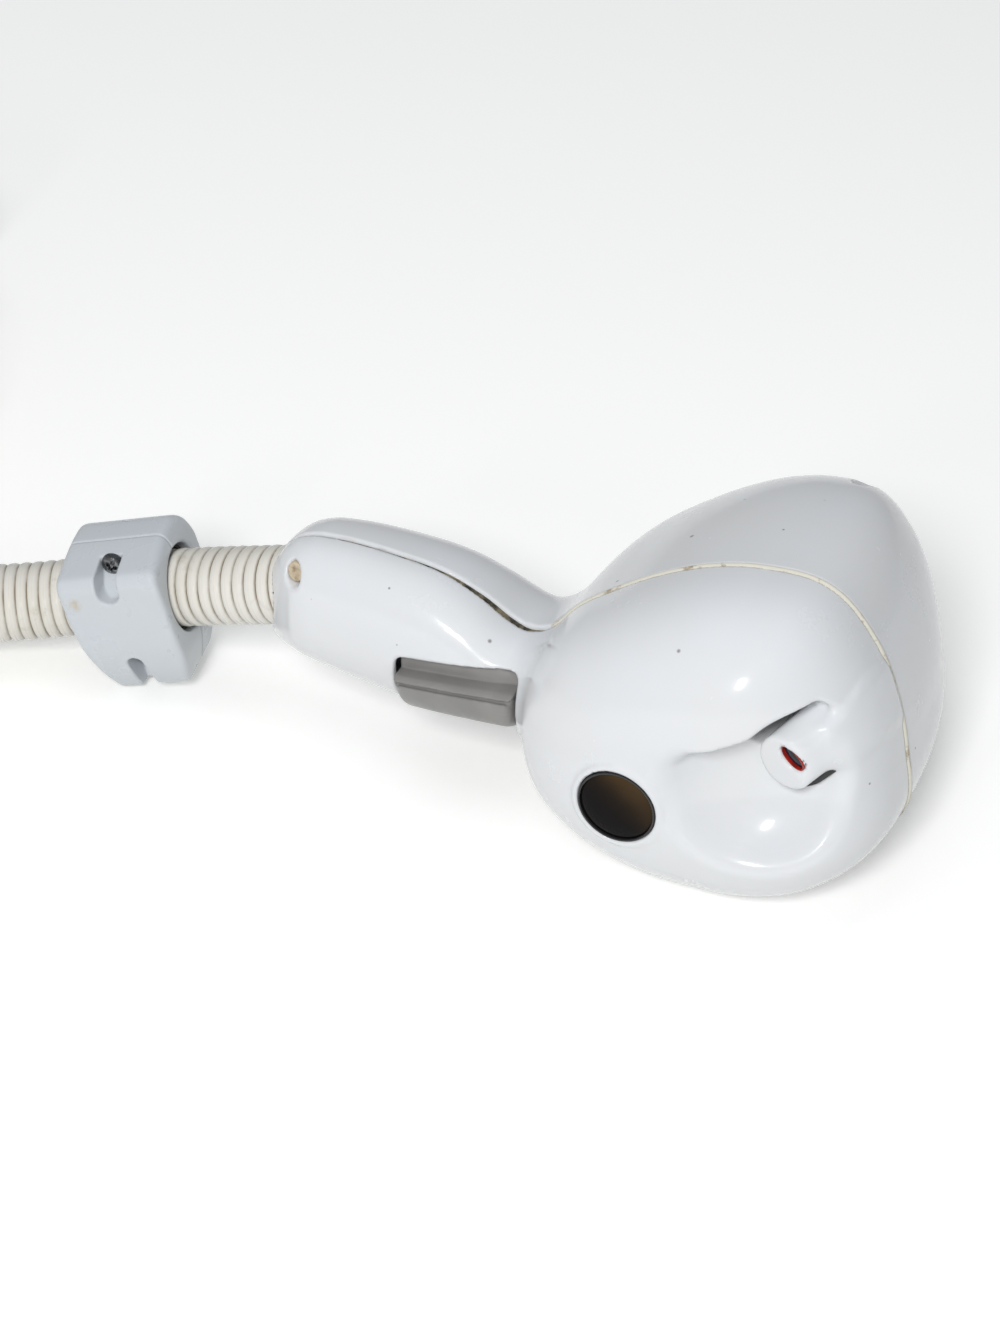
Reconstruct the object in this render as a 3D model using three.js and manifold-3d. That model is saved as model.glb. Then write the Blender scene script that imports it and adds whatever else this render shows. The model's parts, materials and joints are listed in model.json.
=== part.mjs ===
// Trigger handpiece on a ribbed hose: a two-shell grip that opens into a bulbous
// optical head, with a round receiving window, a tilted emitter nozzle standing in
// a scooped dish, a hinged finger trigger, and a hose with a clamp collar and an
// end connector.
//
// Units are millimetres. While it is built, X runs from the rear end of the grip
// towards the head, Y from the window side (front) to the back, and Z up; y = 0 is
// the plane where the two shells meet. REST then moves everything so that the
// handpiece stands on z = 0 with the middle of its own box over the origin.

import * as THREE from 'three';
import { mergeVertices } from 'three/addons/utils/BufferGeometryUtils.js';
import Module from 'manifold-3d';

const wasm = await Module();
wasm.setup();

// ---------------------------------------------------------------- driving sizes
const REST = new THREE.Vector3(-107.9, -19.7, 46.5);   // build frame to resting frame
const FLOOR = -REST.z;                                  // the table, in the build frame

const GAP = 0.3;            // between faces that touch
const FIT = 0.3;            // radial clearance of a shaft or screw in its hole
const WALL = 2.6;           // shell wall
const PARTING = 0.3;        // each shell stops this far from y = 0
const REST_GAP = 0.05;      // under the hose, where it lies on the table
const FAR = 140;            // past every face of the handpiece

// head: a rounded bulb about a centre on the parting plane
const HEAD = {
  x: 158, z: 2,
  front: 46.6, rear: 86.1,
  frontLean: [-3.7, -3.9], rearLean: [2.5, 11.9],       // how far its sections drift
  front_n: 2.5, front_m: 2.83,                          // how square its front is
  under_n: 4.17, under_m: 3.66,                         // the same, underneath
  rear_n: 2.28, rear_m: 2.72,
  // outline radius on the parting plane, every 20 degrees from +X towards +Z
  radii: [58.9, 57.9, 60.1, 61.8, 55.7, 51.0, 49.2, 51.2, 57.8,
    63.5, 62.7, 56.1, 50.9, 48.7, 48.9, 53.7, 59.4, 63.6],
};

// soft seal on the parting plane, round the head from where the grip ends
const GASKET = { half: 0.8, proud: -0.1, depth: 3.4, from: HEAD.x - 60 };

const beforeHead = (d) => HEAD.x - d;                    // a place on X, d before the head's middle
const fromHead = ([d, value]) => [HEAD.x - d, value];

// grip: each line is [x, value] along its length
const GRIP = {
  stations: [-4.3, -3, -1, 2, 6, 11, 18, 27, ...[120, 108, 96, 86, 78, 71, 61, 47].map(beforeHead)],
  top: [[-4.3, 3.5], [-3, 5.5], [0, 14], [5, 22], [10, 25.5], [17, 27.4], [28, 28], ...[[108, 26.7],
    [98, 25], [85, 19.7], [73.5, 12.9], [68, 11], [47, 10]].map(fromHead)],
  bottom: [[-4.3, -13.2], [0, -16.7], [5, -18.4], [15, -19.7], ...[[118, -23.9], [78, -28.9],
    [47, -28.9]].map(fromHead)],
  middle: [[-4.3, -2.3], [0, -2.3], [15, -0.3], ...[[118, -1.3], [78, -6.3], [47, -8.3]].map(fromHead)],
  front: [[-4.3, 3.2], [0, 7], [4, 10.6], [8.5, 13.6], [13, 16.2], [20, 17.6],
    ...[[98, 18.7], [63, 19.3], [47, 19.3]].map(fromHead)],
  rear: [[-4.3, 12.5], [-3, 14], [0, 20], [6, 24.5], [20, 27.8],
    ...[[98, 31.7], [63, 32.7], [47, 32.7]].map(fromHead)],
  n: { topFront: 2.4, underFront: 1.86, topRear: 2.5, underRear: 2.4 },
};

// scooped dish, an ellipsoid whose long axis lies along the base line
const DISH = { at: [HEAD.x + 29, -46, 7], along: [0.885, 0, 0.465], radii: [31, 27, 25.5] };

// emitter nozzle: axis points out of the head
const NOZZLE = {
  tip: new THREE.Vector3(HEAD.x + 31, -35, 12.4),
  axis: new THREE.Vector3(-0.2645, -0.961, -0.0906).normalize(),
  side: new THREE.Vector3(0.5825, -0.2363, 0.778),      // from the axis to the lens slot
  r: 9.35, rootR: 10.6, length: 20,
  edge: 0.8, tipWall: 1.8, boreR: 6.9, boreShift: 1.2,
};
const SLOT = { half: 5.5, thin: 3.2, shift: 3.8, rim: 0.75 };   // oval opening in the nozzle tip

// receiving window
const WINDOW = { x: HEAD.x - 18.9, z: -12, r: 13.75, thick: 3.2, dome: 0.7, rimR: 15.4, face: -46.25 };

// trigger and its cut-out
const TRIGGER = {
  from: HEAD.x - 106.8, to: HEAD.x - 65.5, lobeTop: -7, proud: 4.2, back: -5.6,
  skirtOut: -4, skirtTop: 1.6, skirtSlope: 0.13, skirtLow: -14,
  yBack: 13, pivot: [HEAD.x - 70, -3], pinR: 1.5, earY: 6, web: 1.5,
};
const CUTOUT = { side: 2.2, end: 1.6, back: 1.6 };
const BRACKET = { x0: HEAD.x - 102, x1: HEAD.x - 64, y: 9.5, sheet: 1.5, z0: -9, z1: 5 };
const SWITCH = {
  x: HEAD.x - 90, from: HEAD.x - 100, to: HEAD.x - 80, low: -4.8, pinR: 1.2, press: HEAD.x - 94,
};
const SPRING = { at: HEAD.x - 77, wireR: 0.4, coilR: 2.3, turns: 5 };

// screws, posts and the bench, on places [x, z]
const HEAD_SCREWS = [[HEAD.x + 18, 48], [HEAD.x + 47, -17], [HEAD.x - 29, -32]];
const BENCH_SCREWS = [[HEAD.x - 39, 13], [HEAD.x - 1, 41], [HEAD.x + 7, -33]];
const BRACKET_SCREWS = [[HEAD.x - 78, -1.5], [HEAD.x - 66.5, -0.4]];
const HANDLE_SCREW = { x: 11.8, z: 17.6, boreR: 5, plugAt: -9.6, seat: -5.2 };
const BENCH = { x0: HEAD.x - 46, y0: -12, thick: 4, edge: 9 };
const BOARD = { x0: HEAD.x - 37, x1: HEAD.x + 28, z0: -24, z1: 30, y: 14, thick: 1.6, inset: 6 };
const CLAMP = { x: HEAD.x + 38.4, z: 14.6, left: 12, right: 9, tall: 12 };
const POST_R = 4, WELL_R = 5.4, WELL_SEAT = 5;

// hose, and the leads that it brings
const HOSE_R = 13.25;
const HOSE_IN = 7;                           // how far it reaches into the grip
const HOSE_EXIT = [-3.3, 5, -1.1];           // where its middle passes the grip's rear end
const HOSE_DIRECTION = [0.9615, 0.088, 0.26];
const STOP = { inside: 2.75, thick: 2.7 };   // ferrule between the hose end and the leads
const CABLE_R = 3.6;
const COLLAR_AT = [-54.2, -0.4, -14.8];
const COIL = {
  x: -317.8, y: 38.1, r: 137, start: -66, turn: 564,
  climb: [290, 352], rise: 2 * HOSE_R + 0.4,            // over its own start
  plugClimb: [470, 552], plugRise: 5.2,                 // so that the wider connector clears the ring
};
const HOSE_LEAD = [
  HOSE_EXIT, [-20.2, 4.1, -5.7], [-37.4, 2.6, -10.3], COLLAR_AT, [-71, -3.7, -19.3],
  [-90.5, -10.4, -22.8], [-111.5, -19.8, -24.4], [-134.6, -30.3, -26.4], [-157.3, -40.4, -28.9],
  [-180, -50.5, -31.4], [-202.7, -60.7, -32.9], [-221, -68.8, -33.2], [-239.2, -76.9, -33.2],
  [-262.1, -87.1, -33.2],
];
const HOSE_TAIL = [[-303.8, 175.1, -1.1], [-289.8, 175.1, -1.1]];

// ---------------------------------------------------------------- materials
const finish = (color, roughness, metalness = 0) => () =>
  new THREE.MeshStandardMaterial({ color, roughness, metalness });
const look = {
  shell: finish(0xeceeef, 0.22), collar: finish(0xd7dce4, 0.3), bead: finish(0xd8d2bd, 0.6),
  grey: finish(0x8b8988, 0.42), glass: finish(0x15120f, 0.06), red: finish(0x9c1512, 0.4),
  alloy: finish(0xb7babd, 0.38, 1), steel: finish(0x9fa3a8, 0.3, 1), black: finish(0x1c1c1e, 0.5),
  board: finish(0x1f5a36, 0.5), hose: finish(0xe2dfd3, 0.4), cream: finish(0xd9cdb2, 0.6),
  brass: finish(0xb08d4a, 0.3, 1), rubber: finish(0x2a2a2c, 0.8),
};

// ---------------------------------------------------------------- small helpers
const V = (x, y, z) => new THREE.Vector3(x, y, z);

// routes of the leads inside
const CABLE_ROUTE = [
  V(26, 11.5, 1.5), V(HEAD.x - 113, 17, -4), V(HEAD.x - 83, 19, -10.5), V(HEAD.x - 61, 19, -9),
  V(HEAD.x - 46, 20.6, -3.4), V(HEAD.x - 37.7, 21, -2),
];
const EMITTER_LEAD = [V(HEAD.x + 36, 8.5, 17), V(HEAD.x + 27, 10, 13), V(HEAD.x + 20, 12.2, 11)];

const rad = THREE.MathUtils.degToRad;

/** Smooth line through [x, value] pairs that never overshoots them. */
function line(points) {
  const n = points.length, slope = [], tangent = [];
  for (let i = 0; i < n - 1; i++) {
    slope.push((points[i + 1][1] - points[i][1]) / (points[i + 1][0] - points[i][0]));
  }
  for (let i = 0; i < n; i++) {
    const a = slope[i - 1], b = slope[i];
    tangent.push(a === undefined ? b : b === undefined ? a : a * b <= 0 ? 0 : (2 * a * b) / (a + b));
  }
  return (x) => {
    const c = Math.min(Math.max(x, points[0][0]), points[n - 1][0]);
    let i = 0;
    while (i < n - 2 && c > points[i + 1][0]) i++;
    const h = points[i + 1][0] - points[i][0], t = (c - points[i][0]) / h;
    return (2 * t ** 3 - 3 * t ** 2 + 1) * points[i][1] + (t ** 3 - 2 * t ** 2 + t) * h * tangent[i]
      + (-2 * t ** 3 + 3 * t ** 2) * points[i + 1][1] + (t ** 3 - t ** 2) * h * tangent[i + 1];
  };
}

/** Closed line through values at equal steps of a full turn. */
function ring(values) {
  const n = values.length;
  return (angle) => {
    const u = ((((angle / (2 * Math.PI)) % 1) + 1) % 1) * n, i = Math.floor(u), t = u - i;
    const at = (k) => values[(i + k + n) % n];
    const m0 = (at(1) - at(-1)) / 2, m1 = (at(2) - at(0)) / 2;
    return (2 * t ** 3 - 3 * t ** 2 + 1) * at(0) + (t ** 3 - 2 * t ** 2 + t) * m0
      + (-2 * t ** 3 + 3 * t ** 2) * at(1) + (t ** 3 - t ** 2) * m1;
  };
}

/** A geometry with its shared points merged, so that it closes. */
function welded(geometry) {
  geometry.deleteAttribute('normal');
  geometry.deleteAttribute('uv');
  return mergeVertices(geometry, 1e-4);
}

/** A closed three.js geometry, moved by `matrix`, as a solid. */
function solid(geometry, matrix = new THREE.Matrix4()) {
  const closed = (geometry.attributes.normal ? welded(geometry) : geometry).applyMatrix4(matrix);
  const index = closed.index.array, kept = [];
  for (let i = 0; i < index.length; i += 3) {
    const [a, b, c] = [index[i], index[i + 1], index[i + 2]];
    if (a !== b && b !== c && c !== a) kept.push(a, b, c);
  }
  return new wasm.Manifold(new wasm.Mesh({
    numProp: 3,
    vertProperties: new Float32Array(closed.attributes.position.array),
    triVerts: new Uint32Array(kept),
  }));
}

/** Frame whose Y axis points along `axis`, with X as near to `across` as it can be. */
function frameAlong(at, axis, across = V(1, 0, 0)) {
  const y = axis.clone().normalize();
  let z = across.clone().cross(y);
  if (z.lengthSq() < 1e-6) z = V(0, 0, 1).cross(y);
  z.normalize();
  return new THREE.Matrix4().makeBasis(y.clone().cross(z), y, z).setPosition(at);
}

/** Solid cylinder or cone between two points. */
function rod(r, from, to, sides = 14, rTo = r) {
  const axis = to.clone().sub(from), g = new THREE.CylinderGeometry(rTo, r, axis.length(), sides);
  return solid(g, frameAlong(from.clone().add(to).multiplyScalar(0.5), axis));
}
const rodY = (r, x, z, y0, y1, sides = 12, rTo = r) => rod(r, V(x, y0, z), V(x, y1, z), sides, rTo);
const pipe = (r, rIn, from, to, sides = 24) => {
  const axis = to.clone().sub(from).normalize();
  const start = from.clone().addScaledVector(axis, -1), end = to.clone().addScaledVector(axis, 1);
  return rod(r, from, to, sides).subtract(rod(rIn, start, end, sides));
};
const pipeY = (r, rIn, x, z, y0, y1, sides = 28) => pipe(r, rIn, V(x, y0, z), V(x, y1, z), sides);

/** Box between two corners. */
function block(x0, x1, y0, y1, z0, z1) {
  const g = new THREE.BoxGeometry(x1 - x0, y1 - y0, z1 - z0);
  g.translate((x0 + x1) / 2, (y0 + y1) / 2, (z0 + z1) / 2);
  return solid(g);
}

/** Turned solid: profile points [radius, height] about `axis` through `at`, either way round. */
function turned(profile, at, axis, sides = 20, across) {
  const points = profile.map(([r, h]) => new THREE.Vector2(r, h));
  if (THREE.ShapeUtils.area(points) < 0) points.reverse();
  const g = new THREE.LatheGeometry(points, sides);
  return solid(g, frameAlong(at, axis, across));
}

/** Turns a flat drawing (x, -z) up on edge, its thickness running along +Y from y0. */
const standing = (y0) =>
  new THREE.Matrix4().makeBasis(V(1, 0, 0), V(0, 0, -1), V(0, 1, 0)).setPosition(0, y0, 0);

/** Flat outline [x, z] pushed out along Y between y0 and y1. */
function plate(outline, y0, y1) {
  const shape = new THREE.Shape(outline.map(([x, z]) => new THREE.Vector2(x, -z)));
  const g = new THREE.ExtrudeGeometry(shape, { depth: y1 - y0, bevelEnabled: false });
  return solid(g, standing(y0));
}

/** Round tube along a list of points. */
function along(points, r, steps, sides = 8) {
  const curve = new THREE.CatmullRomCurve3(points, false, 'centripetal');
  const shape = new THREE.Shape(Array.from({ length: sides }, (_, i) => {
    const a = (2 * Math.PI * i) / sides;
    return new THREE.Vector2(r * Math.cos(a), r * Math.sin(a));
  }));
  return solid(new THREE.ExtrudeGeometry(shape, { steps, extrudePath: curve, bevelEnabled: false }));
}

/** Oval disc of half sizes a (along `long`) and b, between two depths behind the nozzle tip. */
function ovalDisc(a, b, centre, long, axis, back0, back1, sides = 20) {
  const shape = new THREE.Shape();
  shape.absellipse(0, 0, a, b, 0, 2 * Math.PI, false, 0);
  const depth = back1 - back0;
  const g = new THREE.ExtrudeGeometry(shape, { depth, bevelEnabled: false, curveSegments: sides / 2 });
  const z = axis.clone().negate(), x = long.clone().addScaledVector(z, -long.dot(z)).normalize();
  const place = new THREE.Matrix4().makeBasis(x, z.clone().cross(x), z);
  return solid(g, place.setPosition(centre.clone().addScaledVector(z, back0)));
}

/** Screw along `axis` (head to tip): round head with a drive recess. */
function screw(at, axis, { headR, headH, shankR, length }, sides = 10) {
  const profile = [[0, -headH * 0.5], [headR * 0.4, -headH], [headR * 0.8, -headH], [headR, -headH * 0.6],
    [headR, 0], [shankR, 0], [shankR, length - shankR * 0.6], [0, length]];
  return turned(profile, at, axis.clone().normalize(), sides);
}
const M3 = { headR: 2.75, headH: 2.4, shankR: 1.5 };
const M2 = { headR: 1.9, headH: 1.4, shankR: 1.0 };
const M4 = { headR: 3.85, headH: 2.6, shankR: 2.0 };

const group = new THREE.Group();
group.position.copy(REST);

/** Adds a finished solid to the object as a named mesh. */
function add(name, body, material) {
  const { vertProperties, triVerts } = body.getMesh();
  const g = new THREE.BufferGeometry();
  g.setAttribute('position', new THREE.BufferAttribute(new Float32Array(vertProperties), 3));
  g.setIndex(new THREE.BufferAttribute(new Uint32Array(triVerts), 1));
  g.computeVertexNormals();
  const mesh = new THREE.Mesh(g, material());
  mesh.name = name;
  group.add(mesh);
  return body;
}

// ---------------------------------------------------------------- head and grip forms
const headRadius = ring(HEAD.radii);

/** Head form, `inset` inside its outer surface, from a sphere whose points are moved out. */
function headForm(inset, around = 34, rows = 18) {
  const g = welded(new THREE.SphereGeometry(1, around, rows)), p = g.attributes.position;
  for (let i = 0; i < p.count; i++) {
    const depth = THREE.MathUtils.clamp(p.getY(i), -1, 1), rho = Math.hypot(p.getX(i), p.getZ(i));
    const angle = Math.atan2(p.getZ(i), p.getX(i)), front = depth < -1e-6;
    const low = THREE.MathUtils.smoothstep(-Math.sin(angle) * 1.3, 0, 1);
    const n = front ? HEAD.front_n + (HEAD.under_n - HEAD.front_n) * low : HEAD.rear_n;
    const m = front ? HEAD.front_m + (HEAD.under_m - HEAD.front_m) * low : HEAD.rear_m;
    const share = Math.abs(depth) ** (2 / m), width = rho < 1e-6 ? 0 : rho ** (2 / n);
    const reach = (headRadius(angle) - inset) * width;
    const lean = front ? HEAD.frontLean : HEAD.rearLean;
    p.setXYZ(i, HEAD.x + lean[0] * share ** 2 + reach * Math.cos(angle),
      Math.sign(depth) * share * ((front ? HEAD.front : HEAD.rear) - inset),
      HEAD.z + lean[1] * share ** 2 + reach * Math.sin(angle));
  }
  return solid(g);
}

const grip = Object.fromEntries(
  ['top', 'bottom', 'middle', 'front', 'rear'].map((key) => [key, line(GRIP[key])]));

/** Where the grip form's rings stand when it is grown: the rounded rear end moves, the rest stays. */
function gripStations(grow) {
  const end = GRIP.stations[0], first = end - grow;
  const moved = GRIP.stations.map((x) => {
    const share = grow < 0 && x < 0 ? x / end : 0;
    return x + Math.max(0, first - x) + (first - end) * share;
  });
  const apart = moved.map((x, i) => (i && x <= moved[i - 1] ? moved[i - 1] + 0.4 : x));
  if (grow > 0) apart[0] = first;
  return apart;
}

/** Grip form grown outward by `grow`, from a cylinder laid along X whose rings are moved. */
function gripForm(grow, around = 24) {
  const stations = gripStations(grow), last = stations.length - 1;
  const g = welded(new THREE.CylinderGeometry(1, 1, 1, around, last)), p = g.attributes.position;
  for (let i = 0; i < p.count; i++) {
    const a = Math.atan2(p.getX(i), p.getZ(i)), rho = Math.hypot(p.getX(i), p.getZ(i));
    const x = stations[Math.round((p.getY(i) + 0.5) * last)];
    const up = Math.sin(a) > 0, front = Math.cos(a) < 0, mid = grip.middle(x);
    const n = GRIP.n[(up ? 'top' : 'under') + (front ? 'Front' : 'Rear')];
    const half = up ? grip.top(x) + grow - mid : mid - grip.bottom(x) + grow;
    const deep = (front ? grip.front(x) : grip.rear(x)) + grow;
    p.setXYZ(i, x, rho * Math.sign(Math.cos(a)) * deep * Math.abs(Math.cos(a)) ** (2 / n),
      mid + rho * Math.sign(Math.sin(a)) * half * Math.abs(Math.sin(a)) ** (2 / n));
  }
  return solid(g);
}

const head = headForm(0), headIn = headForm(WALL, 24, 14);
const outer = head.add(gripForm(0));
const inner = headIn.add(gripForm(-WALL, 20));
const everywhereFront = (y) => block(-FAR, HEAD.x + FAR, -FAR, y, -FAR, FAR);
const everywhereRear = (y) => block(-FAR, HEAD.x + FAR, y, FAR, -FAR, FAR);

// ---------------------------------------------------------------- dish and nozzle
function dishForm(grow) {
  const g = new THREE.SphereGeometry(1, 22, 14);
  g.scale(...DISH.radii.map((r) => r + grow));
  const x = V(...DISH.along).normalize(), y = V(0, 1, 0);
  return solid(g, new THREE.Matrix4().makeBasis(x, y, x.clone().cross(y)).setPosition(...DISH.at));
}

/** Point on the nozzle's axis `back` behind its tip, or on the line `shift` to the lens side of it. */
const nozzleAt = (back, shift = 0) =>
  NOZZLE.tip.clone().addScaledVector(NOZZLE.axis, -back).addScaledVector(NOZZLE.side, shift);
const boreAt = (back) => nozzleAt(back, NOZZLE.boreShift);
const slotLong = NOZZLE.axis.clone().cross(NOZZLE.side).normalize();
/** Oval disc in the nozzle's slot, `less` inside its edge, from `back0` to `back1` behind the tip. */
const slotDisc = (less, back0, back1) =>
  ovalDisc(SLOT.half - less, SLOT.thin - less, nozzleAt(0, SLOT.shift), slotLong, NOZZLE.axis, back0, back1);

const nozzle = rod(NOZZLE.rootR, nozzleAt(NOZZLE.length), nozzleAt(NOZZLE.edge), 24, NOZZLE.r)
  .add(rod(NOZZLE.r, nozzleAt(NOZZLE.edge), nozzleAt(0), 24, NOZZLE.r - NOZZLE.edge));
const nozzleBore = rod(NOZZLE.boreR, boreAt(NOZZLE.length + 2), boreAt(NOZZLE.tipWall), 20);
const slotHole = slotDisc(0, -2, NOZZLE.tipWall + 0.5);

// ---------------------------------------------------------------- places that several pieces share
const benchBack = BENCH.y0 + BENCH.thick;
const hosePoint = V(...HOSE_EXIT), hoseDir = V(...HOSE_DIRECTION).normalize();
const hoseAt = (s) => hosePoint.clone().addScaledVector(hoseDir, s);
const hoseHole = rod(HOSE_R + 2 * GAP, hoseAt(-30), hoseAt(2 * HOSE_IN), 28);
const pivot = { x: TRIGGER.pivot[0], z: TRIGGER.pivot[1] };
/** Cuts a hole for a shaft of radius r along Y at each of some places [x, z]. */
const drilled = (body, places, r, y0, y1, sides = 14) =>
  places.reduce((left, [x, z]) => left.subtract(rodY(r + FIT, x, z, y0, y1, sides)), body);
/** Adds a post of radius r along Y at each place, kept inside the shells' outer form. */
const posted = (body, places, r, y0, y1, sides = 12) =>
  places.reduce((left, [x, z]) => left.add(rodY(r, x, z, y0, y1, sides).intersect(outer)), body);
const handlePlace = [[HANDLE_SCREW.x, HANDLE_SCREW.z]];

// ---------------------------------------------------------------- trigger
/** Space under a line that rises along X, used for the skirt and its cut-out. */
function under(x0, x1, y0, y1, z0, zAtX0, slope) {
  return plate([[x0, z0], [x1, z0], [x1, zAtX0 + slope * (x1 - x0)], [x0, zAtX0]], y0, y1);
}

function triggerBody() {
  const { from, to, earY, web, pinR, lobeTop, skirtLow } = TRIGGER;
  const skirtBack = -BRACKET.y - 0.8, skirt = [TRIGGER.skirtTop, TRIGGER.skirtSlope];
  const lobeSpace = block(from, to, -40, TRIGGER.yBack, -60, lobeTop);
  const skirtSpace = under(from, to, -40, skirtBack, skirtLow, ...skirt);
  const hollow = gripForm(TRIGGER.back);
  const lobe = gripForm(TRIGGER.proud).subtract(hollow).intersect(lobeSpace);
  const plain = gripForm(TRIGGER.skirtOut).subtract(hollow).intersect(skirtSpace);
  const ears = block(pivot.x - earY + 2, to, -earY, earY, -9, 1.2);
  const rib = block(from + 8.8, to, -web, web, -25.5, lobeTop - 1);
  const nearHead = headForm(-2 * GAP, 24, 14)
    .subtract(block(pivot.x - 8, pivot.x + 12, -earY - 1, earY + 1, -60, 20));
  return lobe.add(plain).add(ears).add(rib).subtract(nearHead)
    .subtract(rodY(pinR + FIT, pivot.x, pivot.z, -20, 20, 16));
}

function triggerCutout() {
  const { from, to, skirtTop, skirtSlope, yBack, skirtLow } = TRIGGER;
  const x0 = from - CUTOUT.side, x1 = to + CUTOUT.end;
  const top = skirtTop - CUTOUT.side * skirtSlope - 2 * GAP;
  return under(x0, x1, -40, PARTING + 1, -60, top, skirtSlope)
    .add(block(x0, x1, -2, yBack + CUTOUT.back, -60, skirtLow));
}
const cutout = triggerCutout();

// ---------------------------------------------------------------- shells
/** Ring between the head outline and a line inside it, on the parting plane. */
function outlineBand(out, into, half) {
  const loop = (d) => Array.from({ length: 34 }, (_, i) => {
    const a = (2 * Math.PI * i) / 34, r = headRadius(a) + d;
    return [HEAD.x + r * Math.cos(a), HEAD.z + r * Math.sin(a)];
  });
  return plate(loop(out), -half, half).subtract(plate(loop(-into), -half - 1, half + 1))
    .subtract(block(0, GASKET.from, -20, 20, -80, 80));
}
const gasketGroove = outlineBand(6, GASKET.depth + GAP, GASKET.half + GAP);

function frontShell() {
  const { x, z, r, rimR, face, thick } = WINDOW, ledge = face + thick;
  const windowBoss = rodY(rimR + 3.2, x, z, ledge - 1.55, ledge + 3.45, 24)
    .add(rodY(rimR, x, z, face, ledge + 3.05, 24));
  let shell = outer.subtract(inner.subtract(dishForm(WALL))).subtract(dishForm(0))
    .add(windowBoss).add(nozzle.intersect(outer));
  shell = posted(shell, BENCH_SCREWS, POST_R - 0.5, -HEAD.front, BENCH.y0 - GAP);
  shell = posted(shell, HEAD_SCREWS, POST_R, -FAR, -3 * PARTING);
  shell = posted(shell, handlePlace, HANDLE_SCREW.boreR + 1.8, -30, -PARTING - 0.4);
  shell = shell.intersect(everywhereFront(-PARTING)).subtract(nozzleBore).subtract(slotHole)
    .subtract(rodY(r + FIT, x, z, -60, -30, 28))
    .subtract(rodY(rimR + 0.9, x, z, ledge - 0.2, -30, 24))
    .subtract(cutout).subtract(hoseHole).subtract(gasketGroove);
  shell = drilled(shell, handlePlace, HANDLE_SCREW.boreR - FIT, -40, HANDLE_SCREW.seat, 24);
  shell = drilled(shell, handlePlace, M4.shankR, -40, 4, 16);
  shell = drilled(shell, BENCH_SCREWS, M3.shankR, BENCH.y0 - 13, 0);
  return drilled(shell, HEAD_SCREWS, M3.shankR, -19, 2);
}

function rearShell() {
  let shell = posted(outer.subtract(inner), HEAD_SCREWS, WELL_R, 0, FAR, 20);
  shell = posted(shell, handlePlace, POST_R, PARTING + 0.4, 40);
  shell = posted(shell, BRACKET_SCREWS, 3.2, BRACKET.y + GAP, 50);
  shell = shell.intersect(everywhereRear(PARTING)).subtract(cutout).subtract(hoseHole).subtract(gasketGroove);
  shell = drilled(shell, HEAD_SCREWS, M3.headR + 0.5, WELL_SEAT, FAR, 18);
  shell = drilled(shell, HEAD_SCREWS, M3.shankR, -2, 10);
  shell = drilled(shell, BRACKET_SCREWS, M2.shankR, 0, BRACKET.y + 10, 12);
  return drilled(shell, handlePlace, M4.shankR, -4, 15, 16);
}

add('front_shell', frontShell(), look.shell);
add('rear_shell', rearShell(), look.shell);
add('seam_gasket', outlineBand(GASKET.proud, GASKET.depth, GASKET.half), look.bead);

// ---------------------------------------------------------------- receiving window
function receiver() {
  const { x, z, r, thick, dome, face } = WINDOW, ledge = face + thick, inward = V(0, 1, 0);
  const disc = [[0, 0], [r, 0], [r, thick - 0.5], [r - 0.6, thick + 0.05], [r * 0.6, thick + dome * 0.64],
    [0, thick + dome]];
  add('round_window', turned(disc, V(x, ledge - 0.5, z), V(0, -1, 0), 28), look.glass);
  const retainerFront = ledge - 0.5 + GAP, retainerBack = ledge + 2.2;
  add('window_retainer', pipeY(WINDOW.rimR + 0.6, r - 2, x, z, retainerFront, retainerBack, 24), look.black);

  const y0 = retainerBack + GAP, y1 = BENCH.y0 - GAP;
  const tube = [[8, y1], [14.5, y1], [14.5, y1 - 3], [11.4, y1 - 3], [11.4, y0 + 6], [12.6, y0 + 5],
    [12.6, y0], [10.4, y0], [9.6, y0 + 8], [8, y0 + 8], [8, y1]];
  add('receiver_barrel', turned(tube, V(x, 0, z), inward, 20), look.black);
  const lens = [[0, -1.8], [4, -1.4], [7.7, 0], [7.7, 2], [0, 2]];
  add('receiver_lens', turned(lens, V(x, y0 + 12, z), inward, 18), look.glass);
}
receiver();

// ---------------------------------------------------------------- emitter
function emitter() {
  const { boreR, tipWall, axis } = NOZZLE, lensFront = tipWall + GAP, lensBack = lensFront + 1.5;
  add('emitter_bezel', slotDisc(GAP, 0.35, tipWall - 0.1)
    .subtract(slotDisc(GAP + SLOT.rim, -1, 4)), look.red);
  add('emitter_lens', rod(boreR - GAP, boreAt(lensBack), boreAt(lensFront), 24), look.glass);

  const front = -lensBack - 0.8, r = boreR - GAP, fin = 8.2;
  const barrel = [[0, -37], [4.6, -36], [4.6, front], [r, front], [r, -35], [fin, -35.4], [fin, -37],
    [6, -37.4], [6, -38.8], [fin, -39.2], [fin, -40.6], [0, -41]];
  add('emitter_barrel', turned(barrel, boreAt(0), axis, 18), look.alloy);
  const { x, z, left, right, tall } = CLAMP;
  add('emitter_clamp', block(x - left, x + right, benchBack + GAP, benchBack + 3.6, z - tall, z + tall)
    .subtract(rod(boreR + FIT * 0.5, boreAt(18), boreAt(40), 24)), look.alloy);
  add('emitter_lead', along([boreAt(41 + GAP), boreAt(44), ...EMITTER_LEAD], 1.2, 9, 6), look.black);
}
emitter();

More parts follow.
